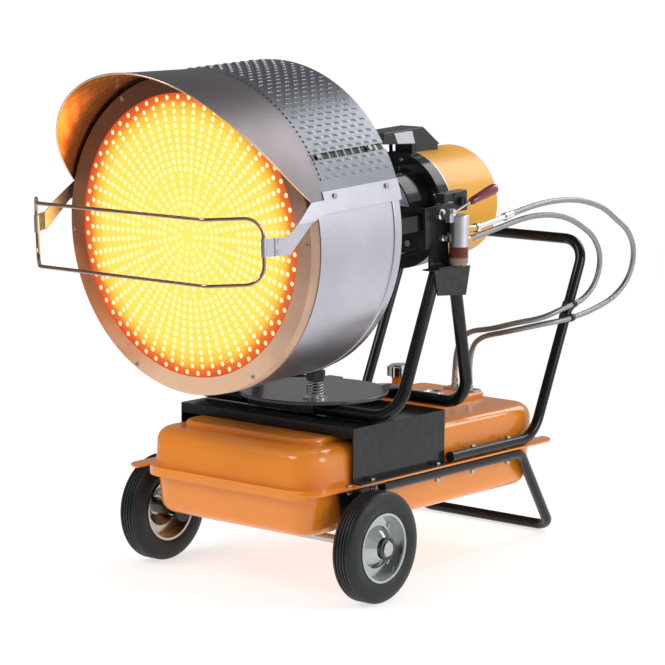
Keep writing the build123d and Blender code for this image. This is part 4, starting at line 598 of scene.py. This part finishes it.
def walled_cells(middle, step, outline, rings, place, depths):
    """Points and quads of many like cells, from each outline in over two rings of its own.

    middle and step are (cells, 2) arrays in the sheet's own u and v; rings hold points about
    each middle; place turns u, v and a depth into points of the frame.
    """
    count = len(outline)
    outer = middle[:, None] + outline[None] * step[:, None]
    flat = np.stack([outer, *(middle[:, None] + ring for ring in rings)], 1)
    deep = np.broadcast_to(np.array(depths)[None, :, None], flat.shape[:3])
    start = np.arange(len(middle))[:, None, None] * 3 * count + np.arange(2)[None, :, None] * count
    base = start + np.arange(count)
    nxt = start + (np.arange(count) + 1) % count
    faces = np.stack([base + count, nxt + count, nxt, base], -1).reshape(-1, 4)
    return place(flat[..., 0], flat[..., 1], deep), faces


def perforate(middle, step, outline, hole, place, depth):
    """Cells with a hole each: the sheet round it and the hole's wall."""
    return walled_cells(middle, step, outline, (hole, hole), place, (0.0, 0.0, depth))


def emboss(middle, step, outline, pad, place, height):
    """Cells whose middle stands proud of the sheet as a pad, with a narrower flat top."""
    points, faces = walled_cells(middle, step, outline, (pad, PAD_TOP * pad), place, (0.0, 0.0, -height))
    count = len(outline)
    caps = (np.arange(len(middle))[:, None] * 3 * count + 2 * count + np.arange(count))[:, ::-1]
    return points, faces, caps


PAD_TOP = 0.62                      # width of a pad's top over the width of its foot


def joined(blocks):
    """Several (points, faces) blocks as one list of points and its face arrays."""
    points, faces, used = [], [], 0
    for made, *parts in blocks:
        points.append(made.reshape(-1, 3))
        faces += [part + used for part in parts]
        used += len(points[-1])
    return np.concatenate(points), faces


class HEATER_OT_emitter(bpy.types.Operator):
    """The hot perforated plate and the fire seen through its holes.

    The plate is the flat disc x = r cos(t), up = r sin(t). Row k of holes lies half a pitch
    past k pitches, and its holes split the turn evenly; the last row is set over by half.
    """

    bl_idname = "heater.emitter"
    bl_label = "Emitter plate"

    SIDES = 240
    BANDS = ((1, 2, 8), (2, 4, 15), (4, 9, 30), (9, 20, 60))            # rows from, to, holes in each
    ROWS = 20
    SHEET = 0.0012
    MIDDLE_R = 0.0005
    MIDDLE_SIDES = 60
    FIRE_AT = EMITTER_AT + 0.0035
    FIRE_RINGS = (0.001, 0.15, 0.325)
    FIRE_SIDES = 120

    def execute(self, context):
        pitch, hole = sizes().hole_pitch, sizes().hole_radius
        blocks = []
        for first, last, sectors in self.BANDS:
            level, sector = (part.ravel() for part in np.meshgrid(
                np.arange(first, last), np.arange(sectors), indexing="ij"))
            radius = (level + 0.5) * pitch
            turn = (sector + 0.5 * (level == self.ROWS - 1)) * 2 * math.pi / sectors
            step = np.broadcast_to(np.array((2 * math.pi / sectors, pitch)), (len(turn), 2))
            outline, angle = cell_ring(self.SIDES // sectors, 3)
            wide = np.cos(angle) / radius[:, None]
            inside = hole * np.stack(np.broadcast_arrays(wide, np.sin(angle)), -1)
            middle = np.stack([turn, radius], -1)
            blocks.append(perforate(middle, step, outline, inside, self.place, self.SHEET))
        blocks.append(self.rim(self.ROWS * pitch, EMITTER_R, self.SIDES))
        blocks.append(self.rim(self.MIDDLE_R, pitch, self.MIDDLE_SIDES))
        points, faces = joined(blocks)
        sharpen(make_piece("emitter_plate", points, faces, "head", "emitter", replaced=("emitter_disc",)))
        around = np.linspace(0, 2 * math.pi, self.FIRE_SIDES, endpoint=False)
        turn, radius = np.meshgrid(around, self.FIRE_RINGS)
        back = head_point(radius * np.cos(turn), self.FIRE_AT, radius * np.sin(turn))
        faces = grid_faces(len(self.FIRE_RINGS), self.FIRE_SIDES, close_columns=True)[:, ::-1]
        make_piece("emitter_fire", back, [faces], "head", "emitter", "fire")
        return {"FINISHED"}

    @staticmethod
    def place(turn, radius, depth):
        """Turn and radius about the drum's axis, depth back into the drum."""
        return head_point(radius * np.cos(turn), EMITTER_AT + depth, radius * np.sin(turn))

    @staticmethod
    def rim(low, high, sides):
        """A flat ring about the drum's axis."""
        turn, radius = np.meshgrid(np.linspace(0, 2 * math.pi, sides, endpoint=False), (low, high))
        points = head_point(radius * np.cos(turn), EMITTER_AT, radius * np.sin(turn))
        return points, grid_faces(2, sides, close_columns=True)[:, ::-1]


class HEATER_OT_cover(bpy.types.Operator):
    """The slotted top cover round the drum.

    Every cell is a patch of the cylinder x = R cos(turn), up = R sin(turn) with an oval pad
    or hole in it; bands without either are plain patches of the same cylinder.
    """

    bl_idname = "heater.cover"
    bl_label = "Slotted top cover"

    ROWS = ((21.8, 29.4, 3), (31.8, 148.2, 50), (150.6, 158.2, 3))      # degrees from, to, rows of pads
    SEAMS = ((29.4, 31.8), (148.2, 150.6))
    PLAIN = ((11.0, 21.8, 6), (158.2, 169.0, 6))
    FRONT_HOLES = (0.0515, 0.0645)
    FRONT_HOLE_R = 0.0034
    FRONT_HOLE_PITCH = 0.013
    SLOTS = (0.0700, 0.3000)
    SLOT_CELLS = 8
    PAD_HEIGHT = 0.0017
    BAR_FROM = 0.012
    BAR_PITCH = 0.026
    BAR_WIDTH = 0.004
    # size of the black strip of painted shade under each seam's gap
    SHADE_STRIP_LAP = 0.01
    SHADE_STRIP_DEPTH = 0.0032
    SQUARENESS = 0.8                # 1 makes an oval, less makes it boxier

    def execute(self, context):
        blocks = []
        for low, high, rows in self.ROWS:
            low, high = math.radians(low), math.radians(high)
            pads, *edges = self.pads(low, high, rows)
            blocks += [pads, self.front_band(low, high), *edges]
            steps = max(rows, 3)
            for front, rear in ((COVER_FRONT, self.FRONT_HOLES[0]), (self.FRONT_HOLES[1], self.SLOTS[0]),
                                (self.SLOTS[1], COVER_BACK)):
                blocks.append(self.patch(low, high, steps, front, rear))
        for low, high, steps in self.PLAIN:
            blocks.append(self.patch(math.radians(low), math.radians(high), steps, COVER_FRONT, COVER_BACK))
        # A black strip under each seam's gap is painted shade: a dark sheet where the gap shows only shade.
        under = []
        for low, high in self.SEAMS:
            low, high = math.radians(low), math.radians(high)
            for bar in np.arange(COVER_FRONT + self.BAR_FROM, DRUM_LENGTH, self.BAR_PITCH):
                blocks.append(self.patch(low, high, 1, bar, bar + self.BAR_WIDTH))
            wide = np.linspace(low - self.SHADE_STRIP_LAP, high + self.SHADE_STRIP_LAP, 3)
            turn, back = np.meshgrid(wide, (COVER_FRONT + 0.001, DRUM_LENGTH))
            under.append((self.place(turn, back, self.SHADE_STRIP_DEPTH), grid_faces(2, 3)[:, ::-1]))
        points, faces = joined(under)
        make_piece("cover_seam_painted_shade", points, faces, "head", "plastic_black")
        points, faces = joined(blocks)
        sharpen(make_piece("top_cover_sheet", points, faces, "head", "stainless", "top_cover",
                           replaced=("top_cover",)))
        return {"FINISHED"}

    def pads(self, low, high, rows):
        """Rows of slot-shaped pads, every other row set back by half, and the sheet at their ends."""
        size, (start, end) = sizes(), self.SLOTS
        pitch, width = (end - start) / self.SLOT_CELLS, (high - low) / rows
        row, place = np.meshgrid(np.arange(rows), np.arange(self.SLOT_CELLS), indexing="ij")
        odd = row % 2 == 1
        keep = ~(odd & (place == self.SLOT_CELLS - 1))
        turn = (low + (row + 0.5) * width)[keep]
        back = (start + (place + 0.5 + 0.5 * odd) * pitch)[keep]
        made = [self.cells(emboss, turn, back, width, pitch, size.slot_width / 2, size.slot_length / 2,
                           self.PAD_HEIGHT)]
        for edge in range(1, rows, 2):
            span = (low + edge * width, low + (edge + 1) * width, 1)
            made.append(self.patch(*span, start, start + pitch / 2))
            made.append(self.patch(*span, end - pitch / 2, end))
        return made

    def front_band(self, low, high):
        """One row of round holes along the cover's front edge."""
        count = max(int(round((high - low) * COVER_R / self.FRONT_HOLE_PITCH)), 1)
        front, rear = self.FRONT_HOLES
        turn = low + (np.arange(count) + 0.5) * (high - low) / count
        back = np.full(count, (front + rear) / 2)
        return self.cells(perforate, turn, back, (high - low) / count, rear - front, self.FRONT_HOLE_R,
                          self.FRONT_HOLE_R, COVER_SHEET)

    @staticmethod
    def place(turn, back, depth):
        """Turn round the drum's axis, distance back, depth in from the cover's face."""
        reach = COVER_R - depth
        return head_point(reach * np.cos(turn), back, reach * np.sin(turn))

    def cells(self, kind, turn, back, width, pitch, half_wide, half_long, depth):
        """Cells of one size with an oval hole or pad in each."""
        outline, angle = cell_ring(3, 4)
        circle = np.stack([np.cos(angle), np.sin(angle)], -1)
        boxy = np.sign(circle) * np.abs(circle) ** self.SQUARENESS
        oval = boxy * (half_wide / COVER_R, half_long)
        step = np.broadcast_to(np.array((width, pitch)), (len(turn), 2))
        return kind(np.stack([turn, back], -1), step, outline, oval, self.place, depth)

    def patch(self, low, high, steps, front, rear):
        """A plain piece of the cover's cylinder."""
        turn, back = np.meshgrid(np.linspace(low, high, 2 * steps + 1), (front, rear))
        points = self.place(turn, back, np.zeros(turn.shape))
        return points, grid_faces(2, 2 * steps + 1)[:, ::-1]


class HEATER_OT_hood(bpy.types.Operator):
    """The hood's inside, whose orange tones are a painted reflection of the glow, and the rolled bead along its
    rim, whose pale peach is painted glow light.

    The inside is a cone round the drum's axis, cut off in front by the rim: the arc through
    three given points of (back, up). The bead is a circle carried along that arc.
    """

    bl_idname = "heater.hood"
    bl_label = "Hood lining and bead"

    TURNS = 121
    ROWS = 9
    ABOVE_FLAT = 0.001              # the lining stops this far above the hood's lower end
    LINING_INSET = 0.0015
    LINING_GAP = 0.0006
    BEAD_R = 0.0019
    BEAD_OUT = 0.0007
    BEAD_SIDES = 10

    def execute(self, context):
        low_angle = math.asin((HOOD_EDGE[0][1] + self.ABOVE_FLAT) / HOOD_RIM_R)
        turn = np.linspace(low_angle, math.pi - low_angle, self.TURNS)
        front = self.front(turn)
        share = np.linspace(0, 1, self.ROWS)[:, None]
        back = (front + self.LINING_INSET) * (1 - share) + HOOD_TUCK_AT * share
        reach = self.inside(back) - self.LINING_GAP
        points = head_point(reach * np.cos(turn), back, reach * np.sin(turn))
        faces = grid_faces(self.ROWS, self.TURNS)
        # the lining wears the painted reflection of the glow
        make_piece("hood_lining_painted_glow", points, [faces], "head", "stainless", "hood_lining_painted_glow")
        reach = self.inside(front) + self.BEAD_OUT
        bead = head_point(reach * np.cos(turn), front, reach * np.sin(turn))
        sides = self.BEAD_SIDES
        tube = tube_points(bead, self.BEAD_R, sides)
        last = (len(bead) - 1) * sides
        walls = grid_faces(len(bead), sides, close_columns=True)[:, ::-1]
        ends = [np.arange(sides)[None, ::-1], (last + np.arange(sides))[None]]
        # the bead's pale peach is painted glow light
        make_piece("hood_bead", tube, [walls, *ends], "head", "stainless", "hood_rim_painted_glow")
        return {"FINISHED"}

    @staticmethod
    def inside(back):
        """Radius of the inside of the hood's sheet at a distance back."""
        share = (HOOD_TUCK_AT - back) / (HOOD_TUCK_AT - HOOD_EDGE[2][0])
        return HOOD_TUCK_R + (HOOD_RIM_R - COVER_SHEET - HOOD_TUCK_R) * share

    def front(self, turn):
        """The rim's distance back at each turn: on the circle through the three points."""
        (a, b), (c, d), (e, f) = HOOD_EDGE
        rows = np.array(((c - a, d - b), (e - a, f - b)))
        sums = np.array((c * c + d * d - a * a - b * b, e * e + f * f - a * a - b * b)) / 2
        middle = np.linalg.solve(rows, sums)
        size = math.hypot(a - middle[0], b - middle[1])
        side = math.copysign(1.0, a - middle[0])
        back = np.full_like(turn, HOOD_EDGE[1][0])
        for _ in range(6):
            up = self.inside(back) * np.sin(turn)
            back = middle[0] + side * np.sqrt(np.maximum(size ** 2 - (up - middle[1]) ** 2, 0))
        return back


# ---------------------------------------------------------------- small turned parts
def turned(profile, centre, axis, sides=48):
    """A profile of (distance along, radius) carried once round an axis: points and quads."""
    axis = np.array(axis, float) / np.linalg.norm(axis)
    side = np.cross(axis, (0.0, 0.0, 1.0) if abs(axis[2]) < 0.9 else (1.0, 0.0, 0.0))
    side /= np.linalg.norm(side)
    lift = np.cross(axis, side)
    turn = np.linspace(0, 2 * math.pi, sides, endpoint=False)[None, :, None]
    along, radius = np.array(profile, float).T[:, :, None, None]
    points = np.array(centre, float) + along * axis + radius * (np.cos(turn) * side + np.sin(turn) * lift)
    return points, grid_faces(len(profile), sides, close_columns=True)[:, ::-1]


class HEATER_OT_details(bpy.types.Operator):
    """Turned hub rings of the wheels, the lever's shaped grip and the ignition box's foot.

    A ring or grip is a profile of (along, radius) carried once round its axis.
    """

    bl_idname = "heater.details"
    bl_label = "Turned details"

    HUB = ((-0.003, 0.0262), (0.0008, 0.0262), (0.0016, 0.0248), (0.0016, 0.0190), (0.0008, 0.0178),
           (-0.003, 0.0178))
    GRIP = ((0.0, 0.0005), (0.0, 0.006), (0.004, 0.0085), (0.030, 0.0098), (0.060, 0.0118), (0.086, 0.0125),
            (0.094, 0.0112), (0.098, 0.0075), (0.0985, 0.0005))
    GRIP_LINE = ((340.5, 110, 868.5), (340.5, 205, 893.5))
    FOOT_BACK = (0.776, 0.862)
    FOOT_HALF = 0.031
    FOOT_SINK = 0.001
    FOOT_GRID = (8, 13)
    FLOOR_LINE = (0.1197, -0.091, 0.769)                                # height, slope, from back
    COVER_LINE = (0.140, -0.0415, 0.773)                                # radius, slope, from back

    def execute(self, context):
        for side, name in ((1, "right"), (-1, "left")):
            low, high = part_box("rim_" + name)
            face = high.x if side > 0 else low.x
            points, faces = turned(self.HUB, (face, WHEEL_Y, (low.z + high.z) / 2), (side, 0, 0))
            make_piece("hub_ring_" + name, points, [faces], "wheel_" + name, "plastic_black", "hub_ring")
        start, end = drawing(self.GRIP_LINE)
        points, faces = turned(self.GRIP, start, end - start, 36)
        make_piece("valve_grip_body", points, [faces], "lever", "grip_red", replaced=("valve_grip",))
        self.box_foot()
        return {"FINISHED"}

    def box_foot(self):
        """A black saddle from the burner cover up to the floor of the ignition box.

        Its top is the box's sloping floor; its underside follows the cover's cone, whose
        height over the burner's axis is the root of radius squared less across squared.
        """
        rows, columns = self.FOOT_GRID
        back, across = np.meshgrid(np.linspace(*self.FOOT_BACK, rows),
                                   np.linspace(-self.FOOT_HALF, self.FOOT_HALF, columns), indexing="ij")
        floor, cover = (value + slope * (back - start)
                        for value, slope, start in (self.FLOOR_LINE, self.COVER_LINE))
        low = -BURNER_DROP + np.sqrt(cover ** 2 - across ** 2) - self.FOOT_SINK
        points = np.concatenate([head_point(across, back, up) for up in (floor, np.minimum(low, floor))])
        top = grid_faces(rows, columns)
        under = top[:, ::-1] + rows * columns
        index = np.arange(rows * columns).reshape(rows, columns)
        edge = np.concatenate([index[0, :-1], index[:-1, -1], index[-1, :0:-1], index[:0:-1, 0]])
        nxt = np.roll(edge, -1)
        side = np.stack([edge, nxt, nxt + rows * columns, edge + rows * columns], -1)
        make_piece("ignition_box_foot", points, [top, under, side], "head", "plastic_black", smooth=False)


# ---------------------------------------------------------------- hoses
SUPPLY_ROUTE = [(330, 286, 827), (330, 340, 836), (330, 417, 844), (330, 485, 845), (330, 551, 841),
                (328, 616, 829), (326, 681, 809), (322, 737, 778), (319, 798, 746), (314, 835, 690),
                (307, 822, 625), (302, 763, 583), (297, 701, 565), (294, 636, 553), (289, 567, 546),
                (262, 516, 539), (191, 470, 518), (99, 482, 495), (66, 492, 452), (66, 492, 404)]
RETURN_ROUTE = [(333, 117, 783), (330, 195, 793), (326, 278, 804), (325, 342, 813), (324, 408, 815),
                (322, 471, 810), (320, 535, 797), (317, 594, 773), (313, 652, 744), (309, 693, 692),
                (302, 685, 627), (296, 634, 587), (292, 567, 577), (265, 513, 554), (206, 485, 540),
                (147, 472, 521), (61, 480, 505), (22, 492, 452), (22, 492, 404)]


def smooth_route(name, route):
    """Points read along the smooth line that a route steers."""
    curve = bpy.data.curves.new(name + "_route", "CURVE")
    curve.dimensions = "3D"
    line = curve.splines.new("NURBS")
    line.points.add(len(route) - 1)
    line.points.foreach_set("co", np.column_stack([drawing(route), np.ones(len(route))]).ravel())
    line.order_u = 3
    line.use_endpoint_u = True
    line.resolution_u = 16
    holder = bpy.data.objects.new(name + "_route", curve)
    mesh = bpy.data.meshes.new_from_object(holder)
    points = np.zeros(len(mesh.vertices) * 3)
    mesh.vertices.foreach_get("co", points)
    bpy.data.objects.remove(holder)
    bpy.data.meshes.remove(mesh)
    return points.reshape(-1, 3)


class HEATER_OT_hoses(bpy.types.Operator):
    """The two braided fuel hoses between the filter and the tank.

    Each is a circle of the hose's radius carried along the smooth line of its route.
    """

    bl_idname = "heater.hoses"
    bl_label = "Fuel hoses"

    SIDES = 24

    def execute(self, context):
        for name, route in (("supply_hose", SUPPLY_ROUTE), ("return_hose", RETURN_ROUTE)):
            path = smooth_route(name, route)
            run = np.concatenate([[0], np.cumsum(np.linalg.norm(np.diff(path, axis=0), axis=1))])
            around, along = np.meshgrid(np.linspace(0, 1, self.SIDES + 1), run)
            faces = [grid_faces(len(path), self.SIDES + 1)]
            braid = make_piece(name + "_braid", self.ring(path), faces, None, "braid",
                               uv=np.stack([around, along], -1), replaced=(name,))
            start, end = drawing((route[-1], route[0])).tolist()
            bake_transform(braid)
        return {"FINISHED"}

    def ring(self, path):
        """The tube's circles with their first point repeated, so that the UV has a seam."""
        circle = tube_points(path, HOSE_R, self.SIDES)
        return np.concatenate([circle, circle[:, :1]], 1)


# ---------------------------------------------------------------- stage
class HEATER_OT_stage(bpy.types.Operator):
    """Pale floor, soft studio light and the camera."""

    bl_idname = "heater.stage"
    bl_label = "Studio stage"

    CAMERA_AT = (3878.5, -4714.4, 1463.0)
    AIM_AT = (33.684, 0.0, 552.228)
    ROLL = 0.5431
    LENS = 144.57
    # name, place, size, power, aim
    LAMPS = (("key", (-1.6, -3.4, 3.6), 2.4, 80, (0, 0, 0.5)),
             ("fill", (4.2, 1.4, 2.0), 2.2, 55, (0, 0, 0.6)),
             ("rear", (0.8, 3.6, 3.2), 2.4, 60, (0, 0, 0.6)))
    FLOOR_RINGS = (0.001, 1.0, 2.0, 3.2)
    FLOOR_SIDES = 96
    FLOOR_Z = -0.0005
    FLOOR_FADE = (0.9, 2.6)

    def execute(self, context):
        self.camera()
        self.world()
        self.floor()
        for lamp in self.LAMPS:
            self.lamp(*lamp)
        context.scene.view_settings.view_transform = "Standard"
        return {"FINISHED"}

    @staticmethod
    def aimed(made, place, aim, roll=0.0):
        """Stands a camera or lamp at a place, looking at another."""
        turned = (Vector(aim) - Vector(place)).to_track_quat("-Z", "Y").to_matrix()
        turned = turned @ Matrix.Rotation(math.radians(roll), 3, "Z")
        made.matrix_world = Matrix.Translation(place) @ turned.to_4x4()

    def camera(self):
        data = bpy.data.cameras.new("camera")
        data.lens = self.LENS
        data.sensor_width = 36.0
        data.clip_end = 100.0
        made = link_object("camera", data)
        self.aimed(made, drawing(self.CAMERA_AT), drawing(self.AIM_AT), self.ROLL)
        bpy.context.scene.camera = made

    def world(self):
        """White where the camera or glass looks; greyer overhead and behind for reflections."""
        world = bpy.data.worlds.new("studio")
        bpy.context.scene.world = world
        world.use_nodes = True
        tree = world.node_tree
        sky = tree.nodes["Background"]
        sky.inputs["Color"].default_value = (1, 1, 1, 1)
        path = node(tree, "ShaderNodeLightPath").outputs
        split = split_axes(tree, node(tree, "ShaderNodeTexCoord").outputs["Generated"])
        side = maths(tree, "ADD", maths(tree, "MULTIPLY", split["X"], 0.70),
                     maths(tree, "MULTIPLY", split["Y"], 0.55))
        bright = carried(tree, side, (-0.1, 0.8), (0.26, 0.95), "SMOOTHSTEP")
        above = carried(tree, split["Z"], (0.25, 0.85), (1.0, 0.35), "SMOOTHSTEP")
        gloss = maths(tree, "MULTIPLY", path["Is Glossy Ray"], maths(tree, "MULTIPLY", bright, above))
        seen = maths(tree, "MAXIMUM", path["Is Camera Ray"], path["Is Transmission Ray"])
        soft = maths(tree, "MULTIPLY", path["Is Diffuse Ray"], 0.5)
        level = maths(tree, "MAXIMUM", maths(tree, "MAXIMUM", seen, gloss), soft)
        tree.links.new(level, sky.inputs["Strength"])

    def floor(self):
        """A pale disc that thins out to nothing, so that no horizon shows."""
        around = np.linspace(0, 2 * math.pi, self.FLOOR_SIDES, endpoint=False)
        turn, radius = np.meshgrid(around, self.FLOOR_RINGS)
        height = np.full(turn.shape, self.FLOOR_Z)
        points = np.stack([radius * np.cos(turn), radius * np.sin(turn), height], -1)
        faces = grid_faces(len(self.FLOOR_RINGS), self.FLOOR_SIDES, close_columns=True)
        mesh = bpy.data.meshes.new("floor")
        mesh.from_pydata(points.reshape(-1, 3).tolist(), [], faces.tolist())
        floor = link_object("floor", mesh)
        paint, tree, shader = start_material("Pale floor", Roughness=0.9, Specular_IOR_Level=0.1,
                                             Base_Color=(0.52, 0.52, 0.52, 1), Emission_Color=(1, 1, 1, 1),
                                             Emission_Strength=0.66)
        far = node(tree, "ShaderNodeVectorMath", operation="LENGTH")
        tree.links.new(object_place(tree), far.inputs[0])
        mix = node(tree, "ShaderNodeMixShader")
        fade = carried(tree, far.outputs["Value"], self.FLOOR_FADE, kind="SMOOTHSTEP")
        tree.links.new(fade, mix.inputs[0])
        tree.links.new(shader.outputs[0], mix.inputs[1])
        tree.links.new(node(tree, "ShaderNodeBsdfTransparent").outputs[0], mix.inputs[2])
        tree.links.new(mix.outputs[0], tree.nodes["Material Output"].inputs["Surface"])
        mesh.materials.append(paint)

    def lamp(self, name, place, size, power, aim):
        data = bpy.data.lights.new(name, "AREA")
        data.shape = "DISK"
        data.size = size
        data.energy = power
        self.aimed(link_object(name, data), place, aim)


class HEATER_OT_finishes(bpy.types.Operator):
    """Finishes of every construction piece that stays as it is."""

    bl_idname = "heater.finishes"
    bl_label = "Finishes"

    def execute(self, context):
        paint_nodes()
        return {"FINISHED"}


class HEATER_PT_panel(bpy.types.Panel):
    """Lists the heater's pieces in the sidebar."""

    bl_label = "Heater"
    bl_idname = "HEATER_PT_panel"
    bl_space_type = "VIEW_3D"
    bl_region_type = "UI"
    bl_category = "Heater"

    def draw(self, context):
        for settings in (context.scene.heater_sizes, context.scene.heater_colours):
            for name in settings.__annotations__:
                self.layout.prop(settings, name)
        for step in STEPS:
            self.layout.operator(step.bl_idname)


STEPS = (HEATER_OT_stage, HEATER_OT_finishes, HEATER_OT_emitter, HEATER_OT_cover, HEATER_OT_hood,
         HEATER_OT_details, HEATER_OT_hoses)
CLASSES = (HeaterSizes, HeaterColours) + STEPS + (HEATER_PT_panel,)


def register():
    for made in CLASSES:
        bpy.utils.register_class(made)
    bpy.types.Scene.heater_sizes = bpy.props.PointerProperty(type=HeaterSizes)
    bpy.types.Scene.heater_colours = bpy.props.PointerProperty(type=HeaterColours)


def unregister():
    del bpy.types.Scene.heater_colours
    del bpy.types.Scene.heater_sizes
    for made in reversed(CLASSES):
        bpy.utils.unregister_class(made)


def main():
    register()
    for step in STEPS:
        group, name = step.bl_idname.split(".")
        getattr(getattr(bpy.ops, group), name)()


if __name__ == "__main__":
    main()
